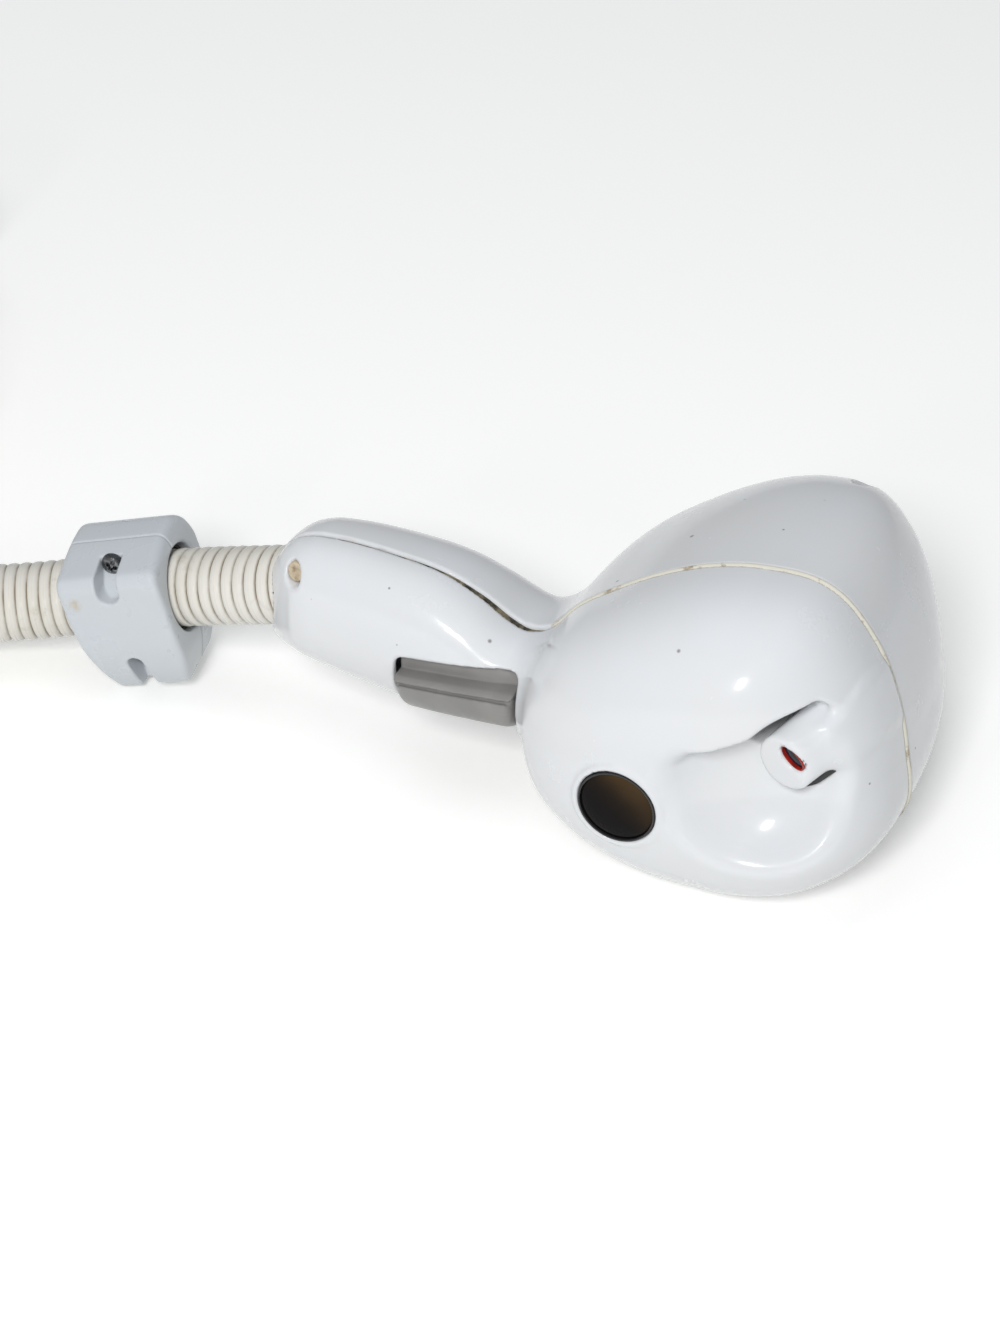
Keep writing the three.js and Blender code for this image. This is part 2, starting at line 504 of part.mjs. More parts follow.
// ---------------------------------------------------------------- optical bench and electronics
function opticalBench() {
  const outline = Array.from({ length: 40 }, (_, i) => {
    const a = (2 * Math.PI * i) / 40, r = headRadius(a) - BENCH.edge;
    return [Math.max(HEAD.x + r * Math.cos(a), BENCH.x0), HEAD.z + r * Math.sin(a)];
  });
  let bench = plate(outline, BENCH.y0, benchBack).subtract(rodY(10.8, WINDOW.x, WINDOW.z, -20, 0, 28))
    .subtract(rod(NOZZLE.boreR + 1, boreAt(10), boreAt(40), 24));
  bench = drilled(bench, HEAD_SCREWS, POST_R + 0.7, -20, 0, 12);
  add('optical_bench', drilled(bench, BENCH_SCREWS, M3.shankR, -20, 0), look.alloy);
  BENCH_SCREWS.forEach(([x, z], i) => add(`bench_screw_${i + 1}`,
    screw(V(x, benchBack + GAP, z), V(0, -1, 0), { ...M3, length: 12 }), look.steel));
}

function electronics() {
  const { x0, x1, z0, z1, y, thick, inset } = BOARD, top = y + thick + GAP, foot = benchBack + GAP;
  const corners = [[x0 + inset, z0 + inset], [x1 - inset, z0 + inset], [x1 - inset, z1 - inset],
    [x0 + inset, z1 - inset]];
  const board = drilled(block(x0, x1, y, y + thick, z0, z1), corners, 1.2, 0, 30, 12);
  add('main_board', drilled(board, HEAD_SCREWS, WELL_R + 0.7, 0, 30, 12), look.board);

  const shoulder = y - benchBack - 2 * GAP;
  const stud = y - benchBack + thick + 1.2;
  const standoff = [[0, 0], [2.8, 0], [2.8, shoulder], [1.2, shoulder], [1.2, stud], [0, stud + 0.6]];
  corners.forEach(([x, z], i) => add(`standoff_${i + 1}`,
    turned(standoff, V(x, foot, z), V(0, 1, 0), 6), look.brass));

  const { x, z } = WINDOW, card = 1.6;
  add('sensor_board', block(x - 8.5, x + 15, foot, foot + card, z - 12, z + 15), look.board);
  add('sensor_chip', block(x - 6, x + 6, benchBack - 2, benchBack, z - 6, z + 6), look.black);
  add('sensor_ribbon', block(x - 5, x + 5, foot + card + GAP, y - GAP, z + 2, z + 2.6), look.cream);

  add('processor', block(HEAD.x, HEAD.x + 18, top, y + thick + 2.6, -8, 10), look.black);
  add('capacitor_1', rodY(5, HEAD.x - 11, 20, top, y + thick + 14, 16), look.black);
  add('capacitor_2', rodY(4, HEAD.x + 24, -8, top, y + thick + 12, 16), look.black);
  add('cable_plug', block(x0, x0 + 10, top, y + thick + 10, -8, 4), look.cream);
}
opticalBench();
electronics();

// ---------------------------------------------------------------- hose end, cable and shell screws
function cableRun() {
  const route = [hoseAt(HOSE_IN + 0.5), hoseAt(HOSE_IN + 6), ...CABLE_ROUTE];
  add('cable_bundle', along(route, CABLE_R, 18, 8), look.black);
  const near = hoseAt(HOSE_IN + GAP), far = hoseAt(HOSE_IN + GAP + STOP.thick);
  add('hose_stop', pipe(HOSE_R - STOP.inside, CABLE_R + 2 * GAP, near, far, 20), look.alloy);
}

function shellScrews() {
  const { x, z, seat, boreR, plugAt } = HANDLE_SCREW, headTop = seat - GAP - M4.headH;
  add('handle_screw', screw(V(x, seat - GAP, z), V(0, 1, 0), { ...M4, length: 16 }), look.steel);
  add('handle_screw_plug', rodY(boreR - GAP, x, z, plugAt - 1.2, headTop - GAP, 24), look.cream);
  HEAD_SCREWS.forEach(([sx, sz], i) => add(`head_screw_${i + 1}`,
    screw(V(sx, WELL_SEAT + GAP, sz), V(0, -1, 0), { ...M3, length: 20 }), look.steel));
}
cableRun();
shellScrews();

// ---------------------------------------------------------------- trigger mechanism
function triggerMechanism() {
  const { x0, x1, y, sheet, z0, z1 } = BRACKET, { x, pinR, from, to, low } = SWITCH;
  const inY = y - sheet - GAP, top = z1 - sheet - GAP, press = SWITCH.press, headLow = -8 + GAP;
  add('trigger', triggerBody(), look.grey);
  add('trigger_pin', rodY(TRIGGER.pinR, pivot.x, pivot.z, -y - 1.2, y, 14), look.steel);

  let bracket = block(x0, x1, -y, y, z0, z1)
    .subtract(block(x0 - 1, x1 + 1, -y + sheet, y - sheet, z0 - 1, z1 - sheet))
    .subtract(rodY(TRIGGER.pinR + FIT, pivot.x, pivot.z, -30, 30, 16))
    .subtract(rodY(pinR + FIT, x, 0, -30, 30, 14));
  bracket = drilled(bracket, BRACKET_SCREWS, M2.shankR, 0, 20, 12);
  add('trigger_bracket', bracket, look.steel);
  BRACKET_SCREWS.forEach(([sx, sz], i) => add(`bracket_screw_${i + 1}`,
    screw(V(sx, inY, sz), V(0, 1, 0), { ...M2, length: 9 }, 12), look.steel));

  add('trigger_switch', block(from, to, -inY, inY, low, top)
    .subtract(rodY(pinR + FIT, x, 0, -20, 20, 14))
    .subtract(block(press - 1.6, press + 1.6, -1.6, 1.6, -8, -0.2)), look.black);
  add('switch_pin', rodY(pinR, x, 0, -y - 0.8, y + 0.8, 12), look.steel);
  add('switch_plunger', block(press - 1.3, press + 1.3, -1.3, 1.3, headLow, -2.5), look.red);

  const { wireR, coilR, turns, at } = SPRING, base = headLow + wireR, rise = top - wireR - base;
  const wire = Array.from({ length: turns * 8 + 1 }, (_, i) => {
    const a = (i / 8) * 2 * Math.PI;
    return V(at + coilR * Math.cos(a), coilR * Math.sin(a), base + rise * (i / (turns * 8)));
  });
  add('trigger_spring', along(wire, wireR, 40, 5), look.steel);
}
triggerMechanism();

// ---------------------------------------------------------------- clamp collar on the hose
const COLLAR = {
  azimuth: 11, pitch: 15, half: 17.5, top: 20.5, foot: -30, front: -20.5, rear: 20, liner: 1.3,
  screwZ: 17.3, lowZ: -17.6, seat: -9.5, nutR: 4.1, nutAt: 10, slit: 0.2, channel: 4.4,
};

function collar() {
  const { half, top, foot, front, rear, liner, screwZ, lowZ, seat, nutR, nutAt, slit, channel } = COLLAR;
  const az = rad(COLLAR.azimuth), pitch = rad(COLLAR.pitch);
  const k = V(Math.cos(pitch) * Math.cos(az), Math.cos(pitch) * Math.sin(az), Math.sin(pitch));
  const across = V(-Math.sin(az), Math.cos(az), 0), up = k.clone().cross(across);
  const centre = V(...COLLAR_AT);
  const place = new THREE.Matrix4().makeBasis(k, across, up).setPosition(centre);
  const local = (x, y, z) => V(x, y, z).applyMatrix4(place);
  const pushed = (points, depth, turn) => {
    const g = new THREE.ExtrudeGeometry(new THREE.Shape(points), { depth, bevelEnabled: false });
    return solid(g, place.clone().multiply(turn));
  };
  const lying = new THREE.Matrix4().makeBasis(V(0, 1, 0), V(0, 0, 1), V(1, 0, 0)).setPosition(-half, 0, 0);
  const slab = (outline) =>                 // outline [y, z] pushed along the hose
    pushed(outline.map(([y, z]) => new THREE.Vector2(y, z)), 2 * half, lying);
  const side = (outline, y0, y1) =>         // outline [x, z] pushed across the hose
    pushed(outline.map(([x, z]) => new THREE.Vector2(x, -z)), y1 - y0, standing(y0));
  const rodIn = (r, a, b, sides = 16) => rod(r, local(...a), local(...b), sides);
  const acrossHose = (r, z, y0, y1, sides) => rodIn(r, [0, y0, z], [0, y1, z], sides);

  const section = [[front, -9], [-17, -19], [-12.5, foot + 2], [-10.5, foot], [10, foot], [13, foot + 3],
    [18, -16], [rear, -8], [rear, 8], [15, 17], [9, top], [-7, top], [-14, 18.5], [-19, 11.5], [front, 6]];
  const profile = [[-half, 17], [-half + 4, top + 1], [half - 4, top + 1], [half, 17], [half, -18],
    [half - 4, foot - 1], [-9, foot - 1], [-12, -20], [-15.6, -8], [-half, 2]];
  const body = slab(section).intersect(side(profile, -40, 40))
    .subtract(rodIn(HOSE_R + liner + 2 * GAP, [-40, 0, 0], [40, 0, 0], 28));
  const u = channel, cut = 1.9;
  const screwChannel = side([[-u, screwZ - 2.5], [-u + cut, screwZ - u], [u - cut, screwZ - u],
    [u, screwZ - 2.5], [u, 30], [-u, 30]], -30, seat);
  const notch = side([[-3.6, lowZ + 3.8], [3.6, lowZ + 3.8], [u, lowZ - 2], [9, foot - 2], [-9, foot - 2],
    [-u, lowZ - 2]], -30, seat);
  const halfSpace = (y0, y1) => side([[-60, -60], [60, -60], [60, 60], [-60, 60]], y0, y1);
  const holed = (b) => b.subtract(acrossHose(M4.shankR + FIT, screwZ, -30, 30))
    .subtract(acrossHose(M4.shankR + FIT, lowZ, -30, 30));

  add('collar_front', holed(body.intersect(halfSpace(-60, -slit)))
    .subtract(screwChannel).subtract(notch), look.collar);
  add('collar_rear', holed(body.intersect(halfSpace(slit, 60)))
    .subtract(acrossHose(nutR + FIT, screwZ, nutAt, 40, 6))
    .subtract(acrossHose(nutR + FIT, lowZ, nutAt, 40, 6)), look.collar);
  add('collar_liner', rodIn(HOSE_R + liner + GAP, [-half + 3, 0, 0], [half - 3, 0, 0], 24)
    .subtract(rodIn(HOSE_R + GAP + 0.35, [-40, 0, 0], [40, 0, 0], 24)), look.rubber);
  for (const [name, z] of [['top', screwZ], ['bottom', lowZ]]) {
    add(`collar_screw_${name}`, screw(local(0, seat - GAP, z), across, { ...M4, length: 24 }), look.steel);
    add(`collar_nut_${name}`, acrossHose(nutR, z, nutAt + GAP, nutAt + GAP + 3, 6)
      .subtract(acrossHose(M4.shankR + FIT, z, 0, 30)), look.steel);
  }
}
collar();

// ---------------------------------------------------------------- hose
const hoseFloor = FLOOR + HOSE_R + REST_GAP;

/** Centre line of the coiled stretch after some degrees of turn. */
function coilPoint(turn) {
  const a = rad(COIL.start - turn);
  const lift = COIL.rise * THREE.MathUtils.smoothstep(turn, ...COIL.climb)
    + COIL.plugRise * THREE.MathUtils.smoothstep(turn, ...COIL.plugClimb);
  return V(COIL.x + COIL.r * Math.cos(a), COIL.y + COIL.r * Math.sin(a), hoseFloor + lift);
}

/** Whole ring of the coil with a tube of radius r. */
function coilRing(r) {
  const circle = Array.from({ length: 11 }, (_, i) => {
    const a = (2 * Math.PI * (i % 10)) / 10 - Math.PI / 2;
    return [COIL.r + r * Math.cos(a), r * Math.sin(a)];
  });
  return turned(circle, V(COIL.x, COIL.y, hoseFloor), V(0, 0, 1), 36);
}

function hose() {
  const loose = HOSE_R - REST_GAP;
  const lead = [hoseAt(HOSE_IN), ...HOSE_LEAD.map((p) => V(...p))];
  add('hose_lead', along(lead, loose, 18, 10).subtract(coilRing(HOSE_R + 2 * GAP)), look.hose);
  add('hose_coil', coilRing(HOSE_R), look.hose);
  const step = (COIL.turn - COIL.climb[1]) / 12;
  const upper = Array.from({ length: 13 }, (_, i) => coilPoint(COIL.climb[1] + i * step));
  add('hose_tail', along([...upper, ...HOSE_TAIL.map((p) => V(...p))], loose, 24, 10), look.hose);
}
hose();

// ---------------------------------------------------------------- connector on the far end
function connector() {
  const end = V(...HOSE_TAIL[HOSE_TAIL.length - 1]), axis = V(1, 0, 0);
  const at = (s) => end.clone().addScaledVector(axis, s);
  const bore = HOSE_R + 2 * GAP, neck = 13.6, barrel = 14.4, body = 16.6, flange = 26, foot = 6;
  const about = (count, r) => Array.from({ length: count }, (_, i) => {
    const a = (2 * Math.PI * i) / count;
    return V(Math.cos(a) * r, 0, Math.sin(a) * r).applyMatrix4(frameAlong(V(0, 0, 0), axis));
  });

  const sleeve = [[bore, -26], [14.6, -26], [16.4, -4], [17.2, 0], [17.2, foot], [14, foot], [14, 1],
    [bore, 1], [bore, -26]];
  add('plug_sleeve', turned(sleeve, end, axis, 22), look.rubber);
  const plug = [[9.5, GAP + 1], [neck, GAP + 1], [neck, foot + GAP], [body, foot + GAP], [body, flange],
    [barrel, flange], [barrel, 52], [12.6, 52], [12.6, 34], [9.5, 34], [9.5, GAP + 1]];
  add('plug_body', turned(plug, end, axis, 22), look.alloy);

  const ringLow = flange + GAP, ringR = 18.3, ringTop = 43;
  const ringBore = barrel + FIT;
  const profile = [[ringBore, ringLow], [17.4, ringLow], [ringR, 27.4], [ringR, 42], [17.4, ringTop],
    [ringBore, ringTop], [ringBore, ringLow]];
  const flutes = about(10, ringR + 0.9).map((off) => rod(1.4, at(28).add(off), at(41).add(off), 6));
  add('coupling_ring', turned(profile, end, axis, 22)
    .subtract(flutes.reduce((a, b) => a.add(b))), look.steel);

  const holes = about(6, 7).map((off) => rod(1.1, at(36).add(off), at(43).add(off), 6));
  add('contact_insert', rod(12.6 - GAP, at(34 + GAP), at(42), 20)
    .subtract(holes.reduce((a, b) => a.add(b))), look.black);
}
connector();

export default group;
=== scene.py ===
# %% [markdown]
# # A trigger handpiece on a ribbed hose
#
# The object is an optical handpiece: two glossy white shells that close round a bench of
# optics, a finger trigger, a clamp collar and a ribbed hose. Its bones come from a packed
# CAD model, which this script loads and never moves. Everything here is about looks.
#
# Most of the pieces are moulded plastic, whose forms flow into each other with soft
# fillets. Such forms are awkward to build from polygons, so this lesson writes each one as
# a formula that is negative inside the plastic, and then lays a skin of quads on its zero.

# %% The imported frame
import json
import math

import bmesh
import bpy
import numpy as np
from mathutils import Matrix, Vector


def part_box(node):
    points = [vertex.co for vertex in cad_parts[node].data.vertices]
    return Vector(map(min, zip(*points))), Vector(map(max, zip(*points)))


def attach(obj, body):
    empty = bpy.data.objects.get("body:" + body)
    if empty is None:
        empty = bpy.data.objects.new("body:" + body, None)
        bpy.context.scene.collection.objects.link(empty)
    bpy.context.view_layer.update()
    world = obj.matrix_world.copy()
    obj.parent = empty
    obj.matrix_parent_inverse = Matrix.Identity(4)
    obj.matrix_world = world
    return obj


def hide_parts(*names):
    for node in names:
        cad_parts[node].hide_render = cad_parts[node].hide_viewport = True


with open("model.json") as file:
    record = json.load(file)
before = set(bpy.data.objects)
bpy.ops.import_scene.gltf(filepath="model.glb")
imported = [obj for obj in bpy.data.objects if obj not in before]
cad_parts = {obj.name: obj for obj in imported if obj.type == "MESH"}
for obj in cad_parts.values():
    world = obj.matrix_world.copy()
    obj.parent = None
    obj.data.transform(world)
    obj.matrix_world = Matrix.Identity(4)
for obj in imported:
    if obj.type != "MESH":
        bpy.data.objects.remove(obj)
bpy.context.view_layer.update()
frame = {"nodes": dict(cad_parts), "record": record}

MM = 0.001

# %% [markdown]
# ## Where things are
#
# The forms are written in millimetres, in the frame that a toolmaker would choose: X runs
# along the grip towards the head, Y is zero where the two shells meet and negative on the
# window side, Z is up. The CAD boxes say where that frame stands: the round window's
# middle and the front shell's flat edge fix its origin.

# %% The working frame
WINDOW = {
    "x": 139.1, "z": -12.0, "r": 12.9, "hole": 13.1, "face": -46.25, "rim": 15.0,
    "land_back": -38, "hole_back": -36,
}
PARTING = 0.3                      # each CAD shell stops this far from the parting plane

window_low, window_high = (np.array(c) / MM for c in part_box("round_window"))
window_middle = (window_low + window_high) / 2
shell_edge = max(corner[1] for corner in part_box("front_shell")) / MM
ORIGIN = np.array([window_middle[0] - WINDOW["x"], shell_edge + PARTING, window_middle[2] - WINDOW["z"]])
FLOOR_Z = -ORIGIN[2]               # the table, in the working frame


def in_row(points):
    """Working millimetres to the row frame's metres."""
    return (np.asarray(points, float) + ORIGIN) * MM


print("working origin, mm:", ORIGIN.round(2))

# %% [markdown]
# ## Camera, floor and light
#
# A long lens from the front and right, looking down at 36 degrees, so the head shows its
# window, its dish and its back at once. The table is white. A soft lamp stands near the
# camera, one hangs above, and a small one in front draws the highlights. The room is
# left dim and cool higher up: glossy white plastic only shows its shape when something
# grey is there for it to reflect.

# %% The camera
CAMERA = {
    "azimuth": 24, "elevation": 36, "distance": 1.15, "target": (79.28, 0.0, -4.24),
    "lens": 128.34, "sensor": 36,
}

turn, lift = math.radians(CAMERA["azimuth"]), math.radians(CAMERA["elevation"])
level = math.cos(lift)
backward = Vector((math.sin(turn) * level, -math.cos(turn) * level, math.sin(lift)))
target = Vector(in_row(CAMERA["target"]))
camera = bpy.data.objects.new("camera", bpy.data.cameras.new("camera"))
camera.data.lens = CAMERA["lens"]
camera.data.sensor_width = CAMERA["sensor"]
camera.data.sensor_fit = "HORIZONTAL"
camera.location = target + backward * CAMERA["distance"]
camera.rotation_euler = backward.to_track_quat("Z", "Y").to_euler()
bpy.context.scene.collection.objects.link(camera)
bpy.context.scene.camera = camera
bpy.context.scene.view_settings.view_transform = "Standard"
print("camera, metres:", [round(v, 3) for v in camera.location])

# %% [markdown]
# ## Shader sums, written as Python
#
# A finish is arithmetic on noise, places and masks, and a tree of wired Math nodes hides
# what it says. So one small class holds an output socket, and Python's own operators add
# the nodes. Every other node comes from one helper: its settings first, then its sockets.

# %% Sums and nodes
class Sum:
    """One output socket, with Python's operators adding Math nodes to its tree."""

    def __init__(self, tree, socket):
        self.tree, self.socket = tree, socket

    def math(self, operation, *others, clamp=False):
        node = self.tree.nodes.new("ShaderNodeMath")
        node.operation = operation
        node.use_clamp = clamp
        plug(self.tree, node.inputs[0], self)
        for slot_, other in zip(node.inputs[1:], others):
            plug(self.tree, slot_, other)
        return Sum(self.tree, node.outputs[0])

    def __add__(self, other):
        return self.math("ADD", other)

    def __sub__(self, other):
        return self.math("SUBTRACT", other)

    def __mul__(self, other):
        return self.math("MULTIPLY", other)

    def __truediv__(self, other):
        return self.math("DIVIDE", other)

    def __pow__(self, other):
        return self.math("POWER", other)

    def __radd__(self, other):
        return self + other

    def __rmul__(self, other):
        return self * other

    def __rsub__(self, other):
        return (self * -1) + other

    def clip(self):
        """Held between 0 and 1."""
        return self.math("ADD", 0.0, clamp=True)

    def size(self):
        """The value without its sign."""
        return self.math("ABSOLUTE")

    def between(self, low, high):
        """0 up to low, 1 from high, and a straight ramp in between."""
        return ((self - low) / (high - low)).clip()


def plug(tree, socket, value):
    """Feeds a socket from a Sum, or sets it to a plain value."""
    if isinstance(value, Sum):
        tree.links.new(value.socket, socket)
    else:
        socket.default_value = value


def node(tree, kind, settings=None, inputs=None, output=0):
    """Adds one node: its settings first, then its sockets' values or links."""
    made = tree.nodes.new(kind)
    for name, value in (settings or {}).items():
        if name == "stops":
            ramp = made.color_ramp
            while len(ramp.elements) < len(value):
                ramp.elements.new(0.5)
            for element, (place, colour) in zip(ramp.elements, value):
                element.position, element.color = place, colour
        else:
            setattr(made, name, value)
    for name, value in (inputs or {}).items():
        plug(tree, made.inputs[name], value)
    return Sum(tree, made.outputs[output])


# %% [markdown]
# ## A finish
#
# Each real finish is one material: a base colour and a roughness on the Principled shader,
# varied by noise the size of the real stains, wear and grain. The class gives those few
# moves short names, so that a finish below reads like its description. All of them read
# Object coordinates, so nothing slides when a joint moves.

# %% The finish class
SPECK_EDGE = (0.05, 0.10)          # a speck's soft edge, as shares of its cell


class Finish:
    """A material, its Principled shader and short names for the nodes that it needs."""

    def __init__(self, name, colour, roughness, **more):
        self.material = bpy.data.materials.new(name)
        self.material.use_nodes = True
        self.tree = self.material.node_tree
        self.shader = self.tree.nodes["Principled BSDF"]
        self.shader.inputs["Base Color"].default_value = (*colour, 1.0)
        self.shader.inputs["Roughness"].default_value = roughness
        for key, value in more.items():
            label = key.replace("_", " ").title().replace("Ior", "IOR")
            self.shader.inputs[label].default_value = value
        self.where = node(self.tree, "ShaderNodeTexCoord", output="Object")

    def noise(self, size_mm, detail=3.0, rough=0.5, seat=(0, 0, 0)):
        """Soft noise from 0 to 1, with blobs about size_mm across."""
        place = self.node("ShaderNodeMapping", inputs={"Vector": self.where, "Location": seat})
        return self.node("ShaderNodeTexNoise", inputs={
            "Vector": place, "Scale": 1 / (size_mm * MM), "Detail": detail, "Roughness": rough})

    def spots(self, size_mm, share, seat=(0, 0, 0)):
        """1 inside scattered round specks: one in some of a pattern's cells."""
        place = self.node("ShaderNodeMapping", inputs={"Vector": self.where, "Location": seat})
        near = self.node("ShaderNodeTexVoronoi", output="Distance", inputs={
            "Vector": place, "Scale": 1 / (size_mm * MM)})
        colour = Sum(self.tree, near.socket.node.outputs["Color"])
        kept = self.node("ShaderNodeSeparateColor", inputs={"Color": colour}).math("LESS_THAN", share)
        return (1 - near.between(*SPECK_EDGE)) * kept

    def node(self, kind, settings=None, inputs=None, output=0):
        return node(self.tree, kind, settings, inputs, output)

    def part(self, axis):
        """X, Y or Z of the place on the piece, in metres of the row frame."""
        return self.node("ShaderNodeSeparateXYZ", inputs={"Vector": self.where}, output="XYZ".index(axis))

    def attribute(self, name):
        return self.node("ShaderNodeAttribute", {"attribute_name": name}, output="Fac")

    def mix(self, factor, first, second):
        """first where factor is 0, second where it is 1; each is a colour or a Sum of one."""
        made = self.tree.nodes.new("ShaderNodeMix")
        made.data_type = "RGBA"
        plug(self.tree, made.inputs[0], factor)
        for socket, value in ((made.inputs[6], first), (made.inputs[7], second)):
            plug(self.tree, socket, value if isinstance(value, Sum) else (*value[:3], 1.0))
        return Sum(self.tree, made.outputs[2])

    def bump(self, height, distance_mm, strength=1.0):
        """A normal that is tilted by the slope of a height."""
        return self.node("ShaderNodeBump", inputs={
            "Height": height, "Distance": distance_mm * MM, "Strength": strength})

    def feed(self, name, value):
        plug(self.tree, self.shader.inputs[name], value)
        return self


# %% The table
FLOOR = {
    "size": 8.0, "white": (0.90, 0.90, 0.885), "rough": 0.32, "gloss": 0.35,
    "glow": (1.0, 1.0, 0.98, 1.0), "lift": 0.27,
}
floor_mesh = bpy.data.meshes.new("table")
half = FLOOR["size"] / 2
corners = [(-half, -half, 0), (half, -half, 0), (half, half, 0), (-half, half, 0)]
floor_mesh.from_pydata(corners, [], [(0, 1, 2, 3)])
table = bpy.data.objects.new("table", floor_mesh)
bpy.context.scene.collection.objects.link(table)


def looked_at(tree):
    """1 for rays that show a surface: from the camera, in a reflection or through glass."""
    rays = tree.nodes.new("ShaderNodeLightPath")
    kinds = ("Is Camera Ray", "Is Glossy Ray", "Is Transmission Ray")
    return sum(Sum(tree, rays.outputs[kind]) for kind in kinds).clip()


table_finish = Finish("table_white", FLOOR["white"], FLOOR["rough"], specular_ior_level=FLOOR["gloss"])
seen = looked_at(table_finish.tree)
plain = Sum(table_finish.tree, table_finish.shader.outputs[0])
glow = table_finish.node("ShaderNodeEmission", inputs={"Color": FLOOR["glow"], "Strength": FLOOR["lift"]})
both = table_finish.node("ShaderNodeAddShader", inputs={0: plain, 1: glow})
choice = table_finish.node("ShaderNodeMixShader", inputs={0: seen, 1: plain, 2: both})
plug(table_finish.tree, table_finish.tree.nodes["Material Output"].inputs["Surface"], choice)
floor_mesh.materials.append(table_finish.material)
print("table:", FLOOR["size"], "m square")

# %% The room
ROOM = [                           # height of the direction, and the colour that it shows
    (0.0, (0.80, 0.80, 0.79, 1)), (0.20, (0.78, 0.78, 0.78, 1)),
    (0.45, (0.52, 0.54, 0.57, 1)), (1.0, (0.40, 0.42, 0.45, 1)),
]
ROOM_STRENGTH = 0.48
world = bpy.data.worlds.new("room")
bpy.context.scene.world = world
world.use_nodes = True
room = world.node_tree
look = node(room, "ShaderNodeTexCoord", output="Generated")
height = node(room, "ShaderNodeSeparateXYZ", inputs={"Vector": look}, output=2)
ambient = node(room, "ShaderNodeValToRGB", {"stops": ROOM}, {"Fac": height.clip()})
plug(room, room.nodes["Background"].inputs["Color"], ambient)
room.nodes["Background"].inputs["Strength"].default_value = ROOM_STRENGTH

# %% The lamps
LAMP_AIM = (158, -10, 2)           # the middle of the head


def softbox(name, towards, away, size, power, mirrored=False, tint=(1, 1, 1)):
    """An area lamp seen from the head in one direction, so many metres away. Only a mirrored
    one shows in reflections, because a large square in glossy plastic looks like a window."""
    aim = Vector(in_row(LAMP_AIM))
    place = aim + Vector(towards).normalized() * away
    lamp = bpy.data.lights.new(name, "AREA")
    lamp.shape, lamp.size, lamp.size_y = "RECTANGLE", size[0], size[1]
    lamp.energy, lamp.color = power, tint
    made = bpy.data.objects.new(name, lamp)
    made.location = place
    made.rotation_euler = (place - aim).to_track_quat("Z", "Y").to_euler()
    made.visible_glossy = mirrored
    bpy.context.scene.collection.objects.link(made)
    return made


softbox("key", (0.12, -0.74, 0.66), 2.1, (0.55, 0.55), 30)
softbox("overhead", (-0.25, 0.10, 1.0), 2.2, (1.8, 1.4), 9, tint=(0.97, 0.985, 1.0))
softbox("front_glint", (-0.06, -0.90, 0.40), 1.6, (0.16, 0.24), 2.0, mirrored=True)

# %% [markdown]
# ## The hose's route
#
# A hose is a fixed length of something stiff. It leaves the grip straight, passes the
# clamp collar, comes down to the table and then runs along it. What is left over is wound
# into a coil that climbs onto its own first turn, and ends there in a connector. The loose
# stretches are listed points, the coil is worked out, and one smooth line passes
# through them all.

# %% The hose's centre line
HOSE = {"r": 13.25, "pitch": 4.4, "groove": 1.15, "inside": 7.0}
COLLAR_AT = (-54.2, -0.4, -14.8)
HOSE_EXIT = np.array([-3.3, 5.0, -1.1])
HOSE_DIRECTION = np.array([0.9615, 0.088, 0.26])
HOSE_DIRECTION /= np.linalg.norm(HOSE_DIRECTION)
LEAD = [(-3.3, 5, -1.1), (-20.2, 4.1, -5.7), (-37.4, 2.6, -10.3), COLLAR_AT, (-71, -3.7, -19.3),
        (-90.5, -10.4, -22.8), (-111.5, -19.8, -24.4), (-134.6, -30.3, -26.4), (-157.3, -40.4, -28.9),
        (-180, -50.5, -31.4), (-202.7, -60.7, -32.9), (-221, -68.8, -33.2), (-239.2, -76.9, -33.2),
        (-262.1, -87.1, -33.2)]
TAIL = [(-303.8, 175.1, -1.1), (-289.8, 175.1, -1.1)]
COIL = {
    "x": -317.8, "y": 38.1, "r": 137, "start": -66, "turn": 564, "step": 6, "off_table": 0.05,
    "climb": (290, 352), "between": 0.4, "plug_climb": (470, 552), "plug_rise": 5.2,
}
CUTS = 24                          # short chords between two route points


def smoothstep(t):
    t = np.clip(t, 0, 1)
    return t * t * (3 - 2 * t)


def risen(turned, span):
    """How much of a climb is done: 0 before the span of degrees, 1 after it."""
    return smoothstep((turned - span[0]) / (span[1] - span[0]))


def coil_points():
    """The wound stretch: along the table, up one diameter, then up to the connector."""
    turned = np.arange(COIL["step"], COIL["turn"] + 1, COIL["step"])
    a = np.radians(COIL["start"] - turned)
    first = FLOOR_Z + HOSE["r"] + COIL["off_table"]
    second = (2 * HOSE["r"] + COIL["between"]) * risen(turned, COIL["climb"])
    z = first + second + COIL["plug_rise"] * risen(turned, COIL["plug_climb"])
    return np.stack([COIL["x"] + COIL["r"] * np.cos(a), COIL["y"] + COIL["r"] * np.sin(a), z], 1)


